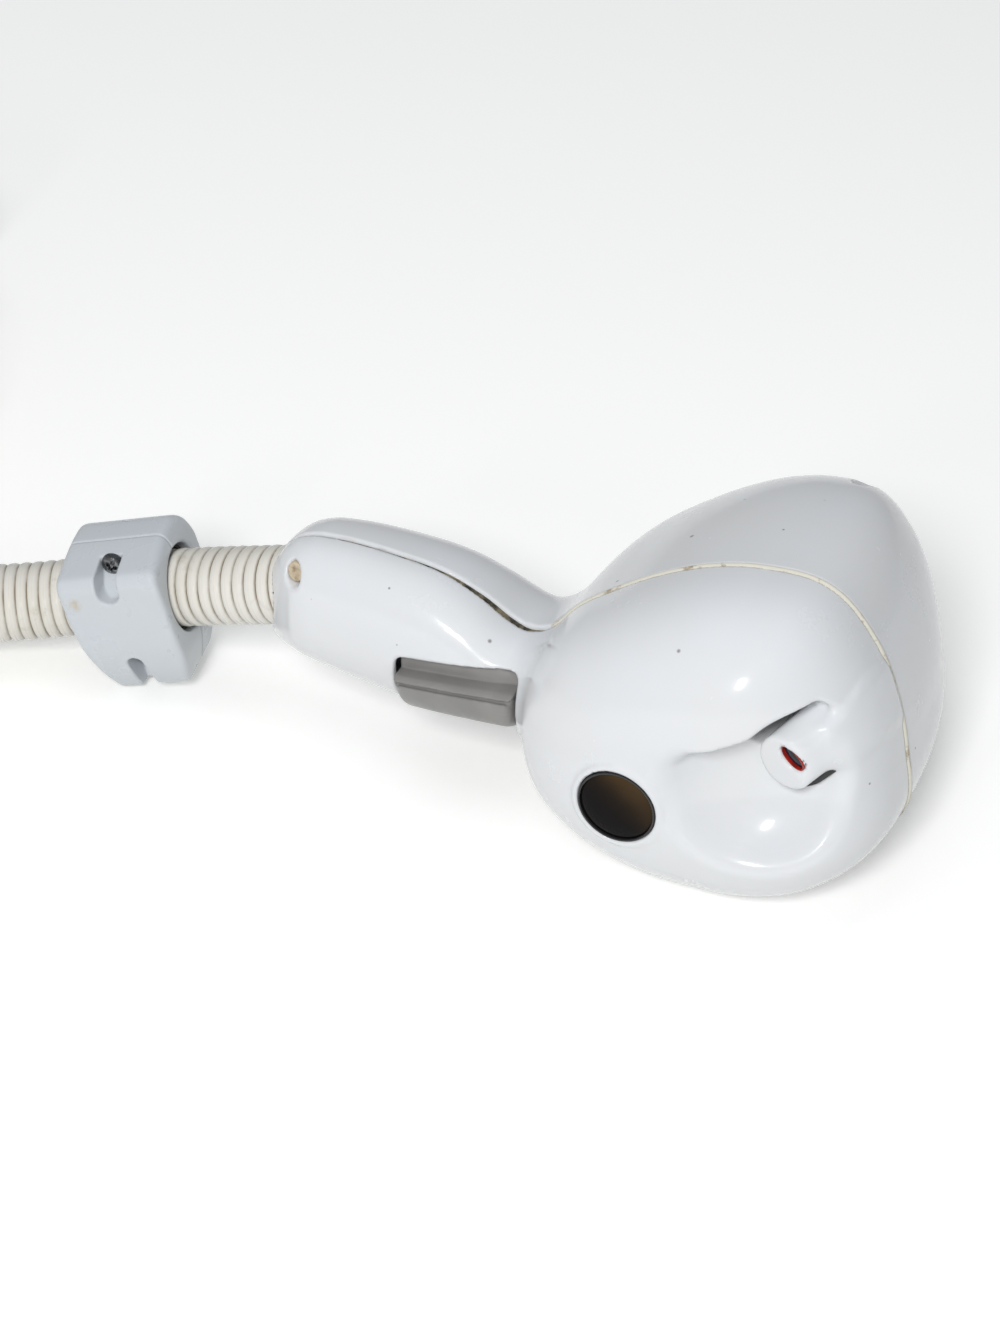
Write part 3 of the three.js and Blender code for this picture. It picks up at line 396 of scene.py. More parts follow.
def smooth_line(points, step):
    """A centripetal Catmull-Rom line through the points, cut every step millimetres."""
    p = np.asarray(points, float)
    p = np.vstack([2 * p[0] - p[1], p, 2 * p[-1] - p[-2]])
    fine = []
    for p0, p1, p2, p3 in zip(p, p[1:], p[2:], p[3:]):
        gaps = [np.linalg.norm(b - a)**0.5 for a, b in ((p0, p1), (p1, p2), (p2, p3))]
        t = np.cumsum([0] + gaps)
        u = np.linspace(t[1], t[2], CUTS, endpoint=False)[:, None]
        a1 = (t[1] - u) / t[1] * p0 + u / t[1] * p1
        a2 = ((t[2] - u) * p1 + (u - t[1]) * p2) / (t[2] - t[1])
        a3 = ((t[3] - u) * p2 + (u - t[2]) * p3) / (t[3] - t[2])
        b1 = ((t[2] - u) * a1 + u * a2) / t[2]
        b2 = ((t[3] - u) * a2 + (u - t[1]) * a3) / (t[3] - t[1])
        fine.append(((t[2] - u) * b1 + (u - t[1]) * b2) / (t[2] - t[1]))
    fine = np.vstack(fine + [p[-2]])
    along = np.concatenate([[0], np.cumsum(np.linalg.norm(np.diff(fine, axis=0), axis=1))])
    even = np.linspace(0, along[-1], int(round(along[-1] / step)) + 1)
    return np.stack([np.interp(even, along, fine[:, k]) for k in range(3)], 1), along[-1]


hose_points = [HOSE_EXIT + HOSE_DIRECTION * HOSE["inside"], *LEAD, *coil_points(), *TAIL]
hose_line, hose_length = smooth_line(hose_points, 4.0)
print(f"hose: {hose_length / 1000:.3f} m along {len(hose_points)} route points")

# %% [markdown]
# ## Forms as formulas
#
# Each moulded part is a function of a point: negative in the plastic, positive outside,
# and about the distance to the surface in between. Cutting one form from another is then a
# maximum and joining is a minimum, and a rounded maximum or minimum gives the fillet that
# the mould has. These few helpers are all that the forms below need.

# %% Joining and cutting
def smin(a, b, k):
    """The smaller of two fields, with a fillet about k millimetres wide."""
    h = np.clip(0.5 + 0.5 * (b - a) / k, 0, 1)
    return b + (a - b) * h - k * h * (1 - h)


def smax(a, b, k):
    """The larger of two fields, with the same fillet."""
    return -smin(-a, -b, k)


def unit(v):
    """The same direction, with a length of one."""
    v = np.asarray(v, float)
    return v / np.linalg.norm(v)


# %% Smooth lines through a few values
def even_line(pairs):
    """A smooth line through [x, value] pairs that never overshoots them."""
    xs, ys = np.array(pairs, float).T
    gap = np.diff(xs)
    rise = np.diff(ys) / gap
    slope = np.concatenate([[rise[0]], np.zeros(len(xs) - 2), [rise[-1]]])
    for i in range(1, len(xs) - 1):
        if rise[i - 1] * rise[i] > 0:
            slope[i] = 2 * rise[i - 1] * rise[i] / (rise[i - 1] + rise[i])

    def value(x):
        x = np.clip(x, xs[0], xs[-1])
        i = np.clip(np.searchsorted(xs, x, side="right") - 1, 0, len(xs) - 2)
        t = (x - xs[i]) / gap[i]
        return ((2 * t**3 - 3 * t**2 + 1) * ys[i] + (t**3 - 2 * t**2 + t) * gap[i] * slope[i]
                + (3 * t**2 - 2 * t**3) * ys[i + 1] + (t**3 - t**2) * gap[i] * slope[i + 1])
    return value


def even_ring(values):
    """A smooth closed line through values at equal steps of a full turn."""
    values = np.array(values, float)
    n = len(values)
    slope = (np.roll(values, -1) - np.roll(values, 1)) / 2

    def value(angle):
        u = np.mod(angle / (2 * np.pi), 1) * n
        i = np.minimum(u.astype(int), n - 1)
        t, j = u - i, (i + 1) % n
        return ((2 * t**3 - 3 * t**2 + 1) * values[i] + (t**3 - 2 * t**2 + t) * slope[i]
                + (3 * t**2 - 2 * t**3) * values[j] + (t**3 - t**2) * slope[j])
    return value


# %% Bars and outlines
def rod(p, at, axis, r, low, high, edge=0.3):
    """A round bar from low to high along an axis, its edges rounded."""
    q = p - np.asarray(at, float)
    along = q @ unit(axis)
    out = np.sqrt(np.maximum((q * q).sum(-1) - along**2, 0))
    return smax(out - r, np.maximum(along - high, low - along), edge)


def soft_planes(across, up, corners, k):
    """A convex outline with rounded corners: a soft maximum of its sides."""
    corners = np.array(corners, float)
    sides = np.roll(corners, -1, axis=0) - corners
    normals = np.stack([sides[:, 1], -sides[:, 0]], 1) / np.linalg.norm(sides, axis=1)[:, None]
    d = [(across - c[0]) * n[0] + (up - c[1]) * n[1] for c, n in zip(corners, normals)]
    top = np.max(d, axis=0)
    return top + k * np.log(sum(np.exp((v - top) / k) for v in d))


# %% [markdown]
# ## A skin for a formula
#
# The skin starts as one vertex in every small cell that the surface crosses, joined into
# quads across the cell faces. Each vertex then moves among its neighbours, which evens the
# quads, and slides along the field's slope until it lies on the zero, so even a coarse skin
# is smooth under a glossy finish. Most of the box is empty, so the field is first sampled
# in blocks, and only blocks near the surface are looked at closely.

# %% Sampling a field
BLOCK = 6                          # cells along the side of a block
NEAR = 1.5                         # a block this many sides from the zero is sampled closely
CHUNK = 400000                     # points worked out at once, to save memory


def sampled(field, low, shape, step):
    """The field on a grid: exact near its zero, and one value a block elsewhere."""
    blocks = -(-np.array(shape) // BLOCK)
    at = np.stack(np.meshgrid(*(np.arange(n) for n in blocks), indexing="ij"), -1)
    rough = field(low + (at + 0.5) * BLOCK * step)
    close = np.abs(rough) < BLOCK * step * NEAR
    grid = rough
    for axis in range(3):
        grid = np.repeat(grid, BLOCK, axis=axis)
        close = np.repeat(close, BLOCK, axis=axis)
    grid = grid[:shape[0], :shape[1], :shape[2]].copy()
    where = np.argwhere(close[:shape[0], :shape[1], :shape[2]])
    for part in np.array_split(where, max(1, len(where) // CHUNK)):
        grid[tuple(part.T)] = field(low + part * step)
    return grid


def slope_of(field, p, h=0.02):
    """The field's slope at each point, from small steps along the axes."""
    steps = np.eye(3) * h
    return np.stack([field(p + s) - field(p - s) for s in steps], -1) / (2 * h)


def among_neighbours(points, quads):
    """The middle of the vertices that share an edge with each vertex."""
    ends = np.concatenate([quads[:, [i, (i + 1) % 4]] for i in range(4)])
    total = np.stack([np.bincount(ends[:, 0], points[ends[:, 1], k], len(points))
                      + np.bincount(ends[:, 1], points[ends[:, 0], k], len(points)) for k in range(3)], 1)
    count = np.bincount(ends[:, 0], minlength=len(points)) + np.bincount(ends[:, 1], minlength=len(points))
    return total / np.maximum(count, 1)[:, None]


# %% The skin maker
CORNERS = np.array([(i, j, k) for i in (0, 1) for j in (0, 1) for k in (0, 1)])
PAIRS = [(a, b) for a in range(8) for b in range(a + 1, 8)]
EDGES = [(a, b) for a, b in PAIRS if np.abs(CORNERS[a] - CORNERS[b]).sum() == 1]
RELAX = (0.6, 0.6, 0.0)            # how far a vertex goes to its neighbours' middle, round by round
FLAT = 0.05                        # the least squared slope that a step may divide by


def skin(field, low, high, step):
    """Vertices and quads on the zero of a field, one vertex in each cell that it crosses."""
    low = np.asarray(low, float)
    shape = np.ceil((np.asarray(high) - low) / step).astype(int) + 1
    grid = sampled(field, low, shape, step)
    inside = grid < 0
    cells = tuple(shape - 1)
    full = np.zeros(cells, np.int8)
    for i, j, k in CORNERS:
        full += inside[i:i + cells[0], j:j + cells[1], k:k + cells[2]]
    crossed = np.argwhere((full > 0) & (full < 8))
    number = np.full(cells, -1, np.int32)
    number[tuple(crossed.T)] = np.arange(len(crossed))
    value = np.stack([grid[tuple((crossed + c).T)] for c in CORNERS], 1)
    total, hits = np.zeros((len(crossed), 3)), np.zeros(len(crossed))
    for a, b in EDGES:
        cut = (value[:, a] < 0) != (value[:, b] < 0)
        t = value[cut, a] / (value[cut, a] - value[cut, b])
        total[cut] += CORNERS[a] + t[:, None] * (CORNERS[b] - CORNERS[a])
        hits[cut] += 1
    points = low + (crossed + total / hits[:, None]) * step
    quads = []
    for axis in range(3):
        one, two = (axis + 1) % 3, (axis + 2) % 3
        ahead = np.roll(inside, -1, axis=axis) != inside
        edge = np.argwhere(ahead)
        edge = edge[(edge[:, axis] < shape[axis] - 1) & (edge[:, one] > 0) & (edge[:, two] > 0)
                    & (edge[:, one] < shape[one] - 1) & (edge[:, two] < shape[two] - 1)]
        e1, e2 = np.eye(3, dtype=int)[one], np.eye(3, dtype=int)[two]
        ring = np.stack([number[tuple((edge + s).T)] for s in (-e1 - e2, -e2, 0 * e1, -e1)], 1)
        outward = inside[tuple(edge.T)]
        ring[~outward] = ring[~outward][:, ::-1]
        quads.append(ring)
    quads = np.vstack(quads)
    for spread in RELAX:
        points = points + spread * (among_neighbours(points, quads) - points)
        g = slope_of(field, points)
        move = -(field(points) / np.maximum((g * g).sum(1), FLAT))[:, None] * g
        points = points + np.clip(move, -step / 2, step / 2)
    return points, quads


# %% A finished mesh
def piece(name, points, faces, materials=(), smooth=True):
    """A mesh object at the origin from working-frame points."""
    mesh = bpy.data.meshes.new(name)
    mesh.from_pydata(in_row(points), [], [tuple(int(i) for i in f) for f in faces])
    mesh.polygons.foreach_set("use_smooth", [smooth] * len(mesh.polygons))
    for finish in materials:
        mesh.materials.append(finish.material)
    made = bpy.data.objects.new(name, mesh)
    bpy.context.scene.collection.objects.link(made)
    print(f"{name}: {len(mesh.polygons)} faces")
    return made


CELLS = {
    "front": (0.88, 1.5), "rear": (1.1, 1.6), "seam": (0.4, 0.7), "slot": (0.2, 0.2),
    "seal": (0.5, 0.5), "plug": (0.25, 0.25), "trigger": (0.5, 0.8), "collar": (0.5, 0.9),
    "bolt": (0.34, 0.34), "ring": (0.45, 0.9), "insert": (0.3, 0.3),
}
STEP = {name: sizes[0] for name, sizes in CELLS.items()}
print("cells, mm:", STEP)

# %% [markdown]
# ## The head and the grip
#
# The head is a superellipse: its outline on the parting plane is a ring of radii, and each
# section in front of or behind that plane is a smaller copy that drifts a little. The grip
# is a rounded bar whose top, bottom, front and back each follow a line along X. Where the
# two meet, a wide fillet makes the neck.

# %% Head and grip forms
HEAD = {
    "x": 158, "z": 2, "front": 46.6, "rear": 86.1,
    "front_lean": (-3.7, -3.9), "rear_lean": (2.5, 11.9),
    "front_n": 2.5, "front_m": 2.83, "under_n": 4.17, "under_m": 3.66, "rear_n": 2.28, "rear_m": 2.72,
    "under_sharp": 1.3, "lean_limit": 1.3, "scale": 50,
    "radii": [58.9, 57.9, 60.1, 61.8, 55.7, 51.0, 49.2, 51.2, 57.8, 63.5, 62.7, 56.1, 50.9, 48.7, 48.9,
              53.7, 59.4, 63.6],
}
GRIP = {
    "top": [(-4.3, 3.5), (-3, 5.5), (0, 14), (5, 22), (10, 25.5), (17, 27.4), (28, 28), (50, 26.7),
            (60, 25), (73, 19.7), (84.5, 12.9), (90, 11), (111, 10)],
    "bottom": [(-4.3, -13.2), (0, -16.7), (5, -18.4), (15, -19.7), (40, -23.9), (80, -28.9), (111, -28.9)],
    "middle": [(-4.3, -2.3), (0, -2.3), (15, -0.3), (40, -1.3), (80, -6.3), (111, -8.3)],
    "front": [(-4.3, 3.2), (0, 7), (4, 10.6), (8.5, 13.6), (13, 16.2), (20, 17.6), (60, 18.7),
              (95, 19.3), (111, 19.3)],
    "rear": [(-4.3, 12.5), (-3, 14), (0, 20), (6, 24.5), (20, 27.8), (60, 31.7), (95, 32.7), (111, 32.7)],
}
GRIP_BULGE = {"front_top": 2.4, "rear_top": 2.5, "front_low": 1.86, "rear_low": 2.4}
GRIP_END = {"x": -4.3, "round": 5.0, "inside_head": 110}
NECK = 9.0                         # fillet between grip and head

head_radius = even_ring(HEAD["radii"])
grip_line = {name: even_line(pairs) for name, pairs in GRIP.items()}


def head(p):
    """The bulb: a superellipse that is fuller in front, below, than at the back."""
    x, y, z = p[..., 0], p[..., 1], p[..., 2]
    front = y < 0
    around = np.arctan2(z - HEAD["z"], x - HEAD["x"])
    low = smoothstep(-np.sin(around) * HEAD["under_sharp"])
    n = np.where(front, HEAD["front_n"] + (HEAD["under_n"] - HEAD["front_n"]) * low, HEAD["rear_n"])
    m = np.where(front, HEAD["front_m"] + (HEAD["under_m"] - HEAD["front_m"]) * low, HEAD["rear_m"])
    deep = np.abs(y) / np.where(front, HEAD["front"], HEAD["rear"])
    lean = np.minimum(deep, HEAD["lean_limit"])**2
    qx = x - HEAD["x"] - np.where(front, HEAD["front_lean"][0], HEAD["rear_lean"][0]) * lean
    qz = z - HEAD["z"] - np.where(front, HEAD["front_lean"][1], HEAD["rear_lean"][1]) * lean
    wide = np.hypot(qx, qz) / head_radius(np.arctan2(qz, qx))
    return ((wide**n + deep**m)**(2 / (n + m)) - 1) * HEAD["scale"]


def grip(p):
    """The handle: each section is four quarters of superellipses."""
    x, y, z = p[..., 0], p[..., 1], p[..., 2]
    top, bottom, middle = (grip_line[k](x) for k in ("top", "bottom", "middle"))
    up, front = z > middle, y < 0
    tall = np.where(up, top - middle, middle - bottom)
    deep = np.where(front, grip_line["front"](x), grip_line["rear"](x))
    upper = np.where(front, GRIP_BULGE["front_top"], GRIP_BULGE["rear_top"])
    n = np.where(up, upper, np.where(front, GRIP_BULGE["front_low"], GRIP_BULGE["rear_low"]))
    round_ = (np.abs(z - middle) / tall)**n + (np.abs(y) / deep)**n
    side = (round_**(1 / n) - 1) * np.minimum(tall, deep)
    end = GRIP_END["x"] - x
    return smax(smax(side, end, GRIP_END["round"]), x - GRIP_END["inside_head"], 2)


def body(p):
    """Head and grip in one."""
    return smin(head(p), grip(p), NECK)


sizes = [float(grip_line[k](0.0)) for k in ("top", "bottom")]
print("grip at its start, mm:", [round(v, 1) for v in sizes])

# %% [markdown]
# ## The dish, the nozzle and the openings
#
# The light comes out of a short tilted nozzle that stands in a scooped dish. The dish is
# an ellipsoid cut into the head. Its rim is crisp above and to the left, where the mould
# has an edge, and fades softly into the head elsewhere, so the fillet's width depends on
# the direction around the dish. Along that crisp stretch the dish stops at a straight
# ledge, which throws a shadow into it. Behind its end face the nozzle widens to one side,
# and a gap runs along its upper side.

# %% Dish and nozzle forms
DISH = {
    "at": (186, -53.4, 6.0), "along": (0.885, 0.30, 0.465), "radii": (40, 24.5, 31),
    "ledge": 18.2, "bend": 4.5,
}
DISH_RIM = {"soft": 4.8, "crisp": 0.8, "crisp_towards": math.radians(100), "from": 0.45, "to": 0.70}
NOZZLE = {
    "tip": (189, -35, 12.4), "axis": (-0.2645, -0.961, -0.0906), "side": (0.5825, -0.2363, 0.778),
    "r": 9.5, "flare": 2.0, "flare_over": 20, "edge": 1.2, "widen": 0.6,
}
GAP = {"deep": 3.6, "over": 26, "slope": 0.7, "starts": 2, "below": 6.0}
SLOT = {"half": 4.9, "thin": 2.75, "shift": 3.8}

dish_x = unit(DISH["along"])
dish_z = unit(np.cross(dish_x, (0, 1, 0)))
dish_frame = np.stack([dish_x, np.cross(dish_z, dish_x), dish_z])
nozzle_axis = unit(NOZZLE["axis"])
slot_across = unit(np.array(NOZZLE["side"]) - nozzle_axis * (np.array(NOZZLE["side"]) @ nozzle_axis))
slot_long = np.cross(nozzle_axis, slot_across)
UPPER = np.sign(slot_long[2])      # the way along slot_long that points up
slot_middle = np.array(NOZZLE["tip"]) + SLOT["shift"] * slot_across


def dish(p):
    """The scoop: an ellipsoid, cut off at the ledge."""
    radii = np.array(DISH["radii"])
    local = (p - np.array(DISH["at"])) @ dish_frame.T
    q = local / radii
    size = np.sqrt((q * q).sum(-1))
    steepness = np.sqrt(((q / radii)**2).sum(-1))
    bowl = size * (size - 1) / np.maximum(steepness, 1e-6)
    return smax(bowl, local[..., 2] - DISH["ledge"], DISH["bend"])


def dish_fillet(p):
    """How wide the rim's fillet is, by the direction around the dish."""
    around = np.arctan2(p[..., 2] - DISH["at"][2], p[..., 0] - DISH["at"][0])
    facing = np.cos(around - DISH_RIM["crisp_towards"])
    crisp = smoothstep((facing - DISH_RIM["from"]) / (DISH_RIM["to"] - DISH_RIM["from"]))
    return DISH_RIM["soft"] + (DISH_RIM["crisp"] - DISH_RIM["soft"]) * crisp


def off_nozzle(p):
    """How far along the nozzle a place is, and how far off its middle line, two ways."""
    q = p - np.array(NOZZLE["tip"])
    return q @ nozzle_axis, q @ slot_across, q @ slot_long * UPPER


def nozzle(p):
    """A round bar that flares towards its root and widens to one side behind its face."""
    along, across, sideways = off_nozzle(p)
    flare = NOZZLE["flare"] * smoothstep(-along / NOZZLE["flare_over"])**1.5 * (sideways < 0)
    across = across - np.clip(across, 0, NOZZLE["widen"] * np.maximum(-along, 0))
    return smax(np.hypot(across, sideways) - NOZZLE["r"] - flare, along, NOZZLE["edge"])


def nozzle_gap(p):
    """The notch along the nozzle's upper side: open outwards, closing towards the root."""
    along, across, sideways = off_nozzle(p)
    inwards = GAP["slope"] * across - along
    deep = GAP["deep"] * (1 - smoothstep(inwards / GAP["over"]))
    sides = smax(sideways - NOZZLE["r"] - deep, GAP["starts"] - sideways, 1.0)
    return smax(smax(sides, -across - GAP["below"], 2.0), inwards - GAP["over"], 5.0)


def oval(p, less, high, low, edge=0.2):
    """An oval disc in the nozzle's slot, less inside its edge, between two heights."""
    q = p - slot_middle
    a, b = q @ slot_long / (SLOT["half"] - less), q @ slot_across / (SLOT["thin"] - less)
    size = np.sqrt(a * a + b * b)
    side = (size - 1) * (SLOT["thin"] - less)
    up = q @ nozzle_axis
    return smax(side, np.maximum(up - high, low - up), edge)


print("nozzle axis:", nozzle_axis.round(3), "slot middle, mm:", slot_middle.round(1))

# %% [markdown]
# ## The two shells
#
# Everything is put together in the order in which a toolmaker would cut it: the body, the
# dish, the nozzle left standing in it, the land round the window, and then an even wall
# with its openings. A wall of even thickness is one line in this language: the band
# between a form's zero and one wall thickness inside it.

# %% The shells' forms
WALL = 2.6
UNDER_SKIN = 0.3                   # posts and bosses stop this far below the outside
HANDLE_HOLE = {"x": 11.6, "z": 17.6, "wide": 3.1, "tall": 4.0, "floor": -9.6, "wall": 2.2}
CUTOUT = {
    "from": 50.4, "slant": 0.10, "to": 94.1, "top": 1.1, "slope": 0.115, "slope_from": 53.8,
    "corner": 3.4, "depth": -9.5, "rear_top": -14, "rear_to": 14.6,
}
ROOT = {"crisp": 0.8, "full": 5.0, "gap_soft": 6.0, "gap_crisp": 0.8, "fades": 7, "in_head": 1.1}
SEAM = {"half": 0.55, "edge": 0.6, "gape": 0.9, "gape_at": 83, "gape_wide": 21, "ends": 101}
HOSE_HOLE = {"r": 13.85, "from": -30, "to": 14}
HEAD_SCREWS = [(176, 48), (205, -17), (129, -32)]
WELL = {"r": 3.55, "lip": 5.4, "floor": 5.0, "through": 90}


# %% The openings
def cutout(p):
    """The opening under the grip that the trigger fills."""
    x, y, z = p[..., 0], p[..., 1], p[..., 2]
    left = CUTOUT["from"] + CUTOUT["slant"] * np.minimum(z, 0) - x
    lid = z - CUTOUT["top"] - CUTOUT["slope"] * (x - CUTOUT["slope_from"])
    ends = smax(left, x - CUTOUT["to"], CUTOUT["corner"])
    front = smax(smax(ends, lid, CUTOUT["corner"]), y - CUTOUT["depth"], 0.6)
    rear = smax(ends, np.maximum(z - CUTOUT["rear_top"], y - CUTOUT["rear_to"]), 1.0)
    return np.minimum(front, rear)


def handle_hole(p):
    """Distance to the oval well over the handle's screw."""
    a = (p[..., 0] - HANDLE_HOLE["x"]) / HANDLE_HOLE["wide"]
    b = (p[..., 2] - HANDLE_HOLE["z"]) / HANDLE_HOLE["tall"]
    return (np.sqrt(a * a + b * b) - 1) * HANDLE_HOLE["wide"]


def window_land(p):
    """A low flat boss round the window."""
    out = np.hypot(p[..., 0] - WINDOW["x"], p[..., 2] - WINDOW["z"])
    land = smax(out - WINDOW["rim"], WINDOW["face"] - p[..., 1], 1.0)
    return smax(land, p[..., 1] - WINDOW["land_back"], 1.0)


def seam_half(p):
    """Half the gap between the shells, which gapes along the top of the grip near the neck."""
    x, z = p[..., 0], p[..., 2]
    gape = np.exp(-((x - SEAM["gape_at"]) / SEAM["gape_wide"])**2) * smoothstep((SEAM["ends"] - x) / 6)
    return SEAM["half"] + SEAM["gape"] * gape * smoothstep((z + 8) / 8)


def hose_bore(p):
    """The round hole that the hose passes through."""
    return rod(p, HOSE_EXIT, HOSE_DIRECTION, HOSE_HOLE["r"], HOSE_HOLE["from"], HOSE_HOLE["to"])


# %% The two halves
def walled(outside):
    """The band of one wall thickness inside a form."""
    return np.abs(outside + WALL / 2) - WALL / 2


def front_outside(p):
    """The front's outside: head and grip, dish, gap, nozzle and window land."""
    outside = smax(body(p), -dish(p), dish_fillet(p))
    _, across, sideways = off_nozzle(p)
    upper_side = smoothstep((sideways - 1) / ROOT["fades"])
    gap_fillet = ROOT["gap_soft"] + (ROOT["gap_crisp"] - ROOT["gap_soft"]) * upper_side
    outside = smax(outside, -nozzle_gap(p), gap_fillet)
    shoulder = smoothstep(across / ROOT["fades"]) * (1 - upper_side)
    root = ROOT["crisp"] + (ROOT["full"] - ROOT["crisp"]) * shoulder
    outside = smin(outside, smax(nozzle(p), body(p) + ROOT["in_head"], 2.0), root)
    return smin(outside, window_land(p), 1.6)


def front_shell(p):
    """The window side: slot, window, trigger opening, the handle's screw well and the hose hole."""
    form = np.maximum(walled(front_outside(p)), -oval(p, 0, 3, -6))
    window = np.hypot(p[..., 0] - WINDOW["x"], p[..., 2] - WINDOW["z"]) - WINDOW["hole"]
    form = smax(form, -np.maximum(window, p[..., 1] - WINDOW["hole_back"]), 0.8)
    form = smax(form, -cutout(p), 0.9)
    below = p[..., 1] - HANDLE_HOLE["floor"]
    boss = smax(handle_hole(p) - HANDLE_HOLE["wall"], below - 1, 0.5)
    form = np.minimum(form, np.maximum(boss, body(p) + UNDER_SKIN))
    form = smax(form, -smax(handle_hole(p), below - 1.2, 0.5), 1.0)
    form = smax(form, -hose_bore(p), 0.8)
    return smax(form, p[..., 1] + seam_half(p), SEAM["edge"])


def rear_shell(p):
    """The back: three screw wells, its share of the trigger opening, and the hose hole."""
    y = p[..., 1]
    outside = body(p)
    form = walled(outside)
    for x, z in HEAD_SCREWS:
        post = rod(p, (x, 0, z), (0, 1, 0), WELL["lip"], SEAM["half"], WELL["through"])
        form = np.minimum(form, np.maximum(post, outside + UNDER_SKIN))
        hole = rod(p, (x, WELL["floor"], z), (0, 1, 0), WELL["r"], 0, WELL["through"])
        form = smax(form, -hole, 0.8)
    form = smax(form, -cutout(p), 0.9)
    form = smax(form, -hose_bore(p), 0.8)
    return smax(form, seam_half(p) - y, SEAM["edge"])


# %% [markdown]
# ## Glossy white plastic
#
# The shells are hard white plastic with a moulded gloss. Up close such a part is never one
# colour: it yellows a little in broad patches, dirt gathers beside the seams, a few dark
# specks sit in it, and the surface waves slightly like orange peel, which is what breaks
# up the edges of its reflections.

# %% The shells' finish
WHITE = (0.70, 0.715, 0.735)
WHITE_AGED = (0.69, 0.69, 0.675)
SPECK = (0.16, 0.14, 0.12)
GRIME = (0.20, 0.15, 0.085)
PARTING_Y = ORIGIN[1] * MM


def near_seam(finish, reach_mm):
    """1 on the parting plane, falling to 0 a few millimetres from it."""
    middle = (PARTING_Y - finish.part("Y")).size() / MM
    return 1 - middle.between(0.0, reach_mm)


def shell_white():
    finish = Finish("glossy_white", WHITE, 0.24, coat_weight=0.5, coat_roughness=0.08, coat_ior=1.5)
    patches = finish.noise(38, detail=2.0)
    aged = finish.mix(patches.between(0.42, 0.7) * 0.35, WHITE, WHITE_AGED)
    specks = finish.spots(9.0, 0.10) + finish.spots(5.2, 0.035, seat=(0.4, 0.1, 0.7))
    specked = finish.mix(specks.clip() * 0.75, aged, SPECK)
    grime = near_seam(finish, 1.1) * finish.noise(7, detail=4.0).between(0.45, 0.62)
    finish.feed("Base Color", finish.mix(grime * 0.6, specked, GRIME))
    worn = finish.noise(26, detail=5.0, rough=0.65)
    finish.feed("Roughness", worn.between(0.35, 0.75) * 0.10 + 0.20)
    finish.feed("Normal", finish.bump(finish.noise(3.2, detail=1.5), 0.035, 0.25))
    return finish


white = shell_white()
print("finish:", white.material.name, "with", len(white.tree.nodes), "nodes")


# %% Lay the shells' skins
FRONT_BOX = ((-6, -48, -62), (222, 0.6, 68))
REAR_BOX = ((-6, -0.6, -62), (222, 88, 68))


def fixed(made, slot, *nodes, body_name="handpiece"):
    """Hangs a finished piece on the body it rides on and hides the CAD nodes it stands for. The slot argument
    is not used.
    """
    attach(made, body_name)
    if nodes:
        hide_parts(*nodes)
    return made


front = piece("shell_front", *skin(front_shell, *FRONT_BOX, STEP["front"]), [white])
rear = piece("shell_rear", *skin(rear_shell, *REAR_BOX, STEP["rear"]), [white])
fixed(front, "shell_white", "front_shell")
fixed(rear, "shell_white", "rear_shell")

# %% [markdown]
# ## The seam
#
# Round the head a soft cream bead fills the seam and stands a little proud. Along the grip
# there is no bead: the rear shell has a lip that reaches under the front one, and it shows
# through the gap. Its colour is near black to dark brown, painted shade for the shadow in
# the gap, with streaks of brown dirt and spots of rust.

# %% The bead and the lip
BEAD = {"from": 97, "out": 0.45, "r": 0.95, "root_from": 0.6, "root_to": 3.2, "slack": 0.1}
LIP = {"depth": 1.15, "thick": 1.1, "reach": -2.4, "rear": 1.6, "ends": 96, "lowest": -4}
BEAD_BOX = ((94, -2, -64), (222, 2, 68))
LIP_BOX = ((-6, -4, -6), (102, 3, 30))


def bead(p):
    """A round bead on the seam, with a root that fills the gap behind it."""
    ring = np.hypot(p[..., 1], body(p) + BEAD["out"]) - BEAD["r"]
    deep = np.maximum(body(p) + BEAD["root_from"], -body(p) - BEAD["root_to"])
    root = np.maximum(deep, np.abs(p[..., 1]) - SEAM["half"] + BEAD["slack"])
    return smax(np.minimum(ring, root), BEAD["from"] - p[..., 0], 1.2)


def lip(p):
    """The rear shell's lip: a thin sheet under the front shell's edge, along the grip."""
    inside = body(p) + LIP["depth"]
    sheet = np.maximum(inside, -inside - LIP["thick"])
    across = np.maximum(LIP["reach"] - p[..., 1], p[..., 1] - LIP["rear"])
    ends = np.maximum(p[..., 0] - LIP["ends"], LIP["lowest"] - p[..., 2])
    return smax(smax(sheet, across, 0.5), ends, 0.5)


def seam_cream():
    finish = Finish("seam_cream", (0.60, 0.565, 0.47), 0.5)
    blotch = finish.noise(9, detail=5.0, rough=0.7).between(0.54, 0.64)
    browned = finish.mix(blotch * 0.75, (0.68, 0.655, 0.57), (0.26, 0.18, 0.09))
    spotted = finish.mix(finish.spots(6.0, 0.16, seat=(0.2, 0, 0)), browned, (0.33, 0.17, 0.05))
    finish.feed("Base Color", spotted)
    return finish


def lip_shade_and_dirt():
    finish = Finish("lip_shade_and_dirt", (0.20, 0.175, 0.12), 0.6)
    streak = finish.noise(5, detail=5.0, rough=0.7)
    # Painted shade: the lip is near black to dark brown for the shadow in the seam's gap, streaked with brown
    # dirt.
    shade_and_clay = finish.mix(streak.between(0.42, 0.6), (0.030, 0.026, 0.020), (0.21, 0.18, 0.115))
    rust = finish.spots(8.0, 0.22, seat=(0, 0, 0.3))
    finish.feed("Base Color", finish.mix(rust, shade_and_clay, (0.42, 0.20, 0.05)))
    return finish


bead_piece = piece("seam_bead", *skin(bead, *BEAD_BOX, STEP["seam"]), [seam_cream()])
fixed(bead_piece, "seam_cream", "seam_gasket")
lip_piece = piece("seam_lip", *skin(lip, *LIP_BOX, STEP["seam"]), [lip_shade_and_dirt()])
fixed(lip_piece, "cream_plastic")

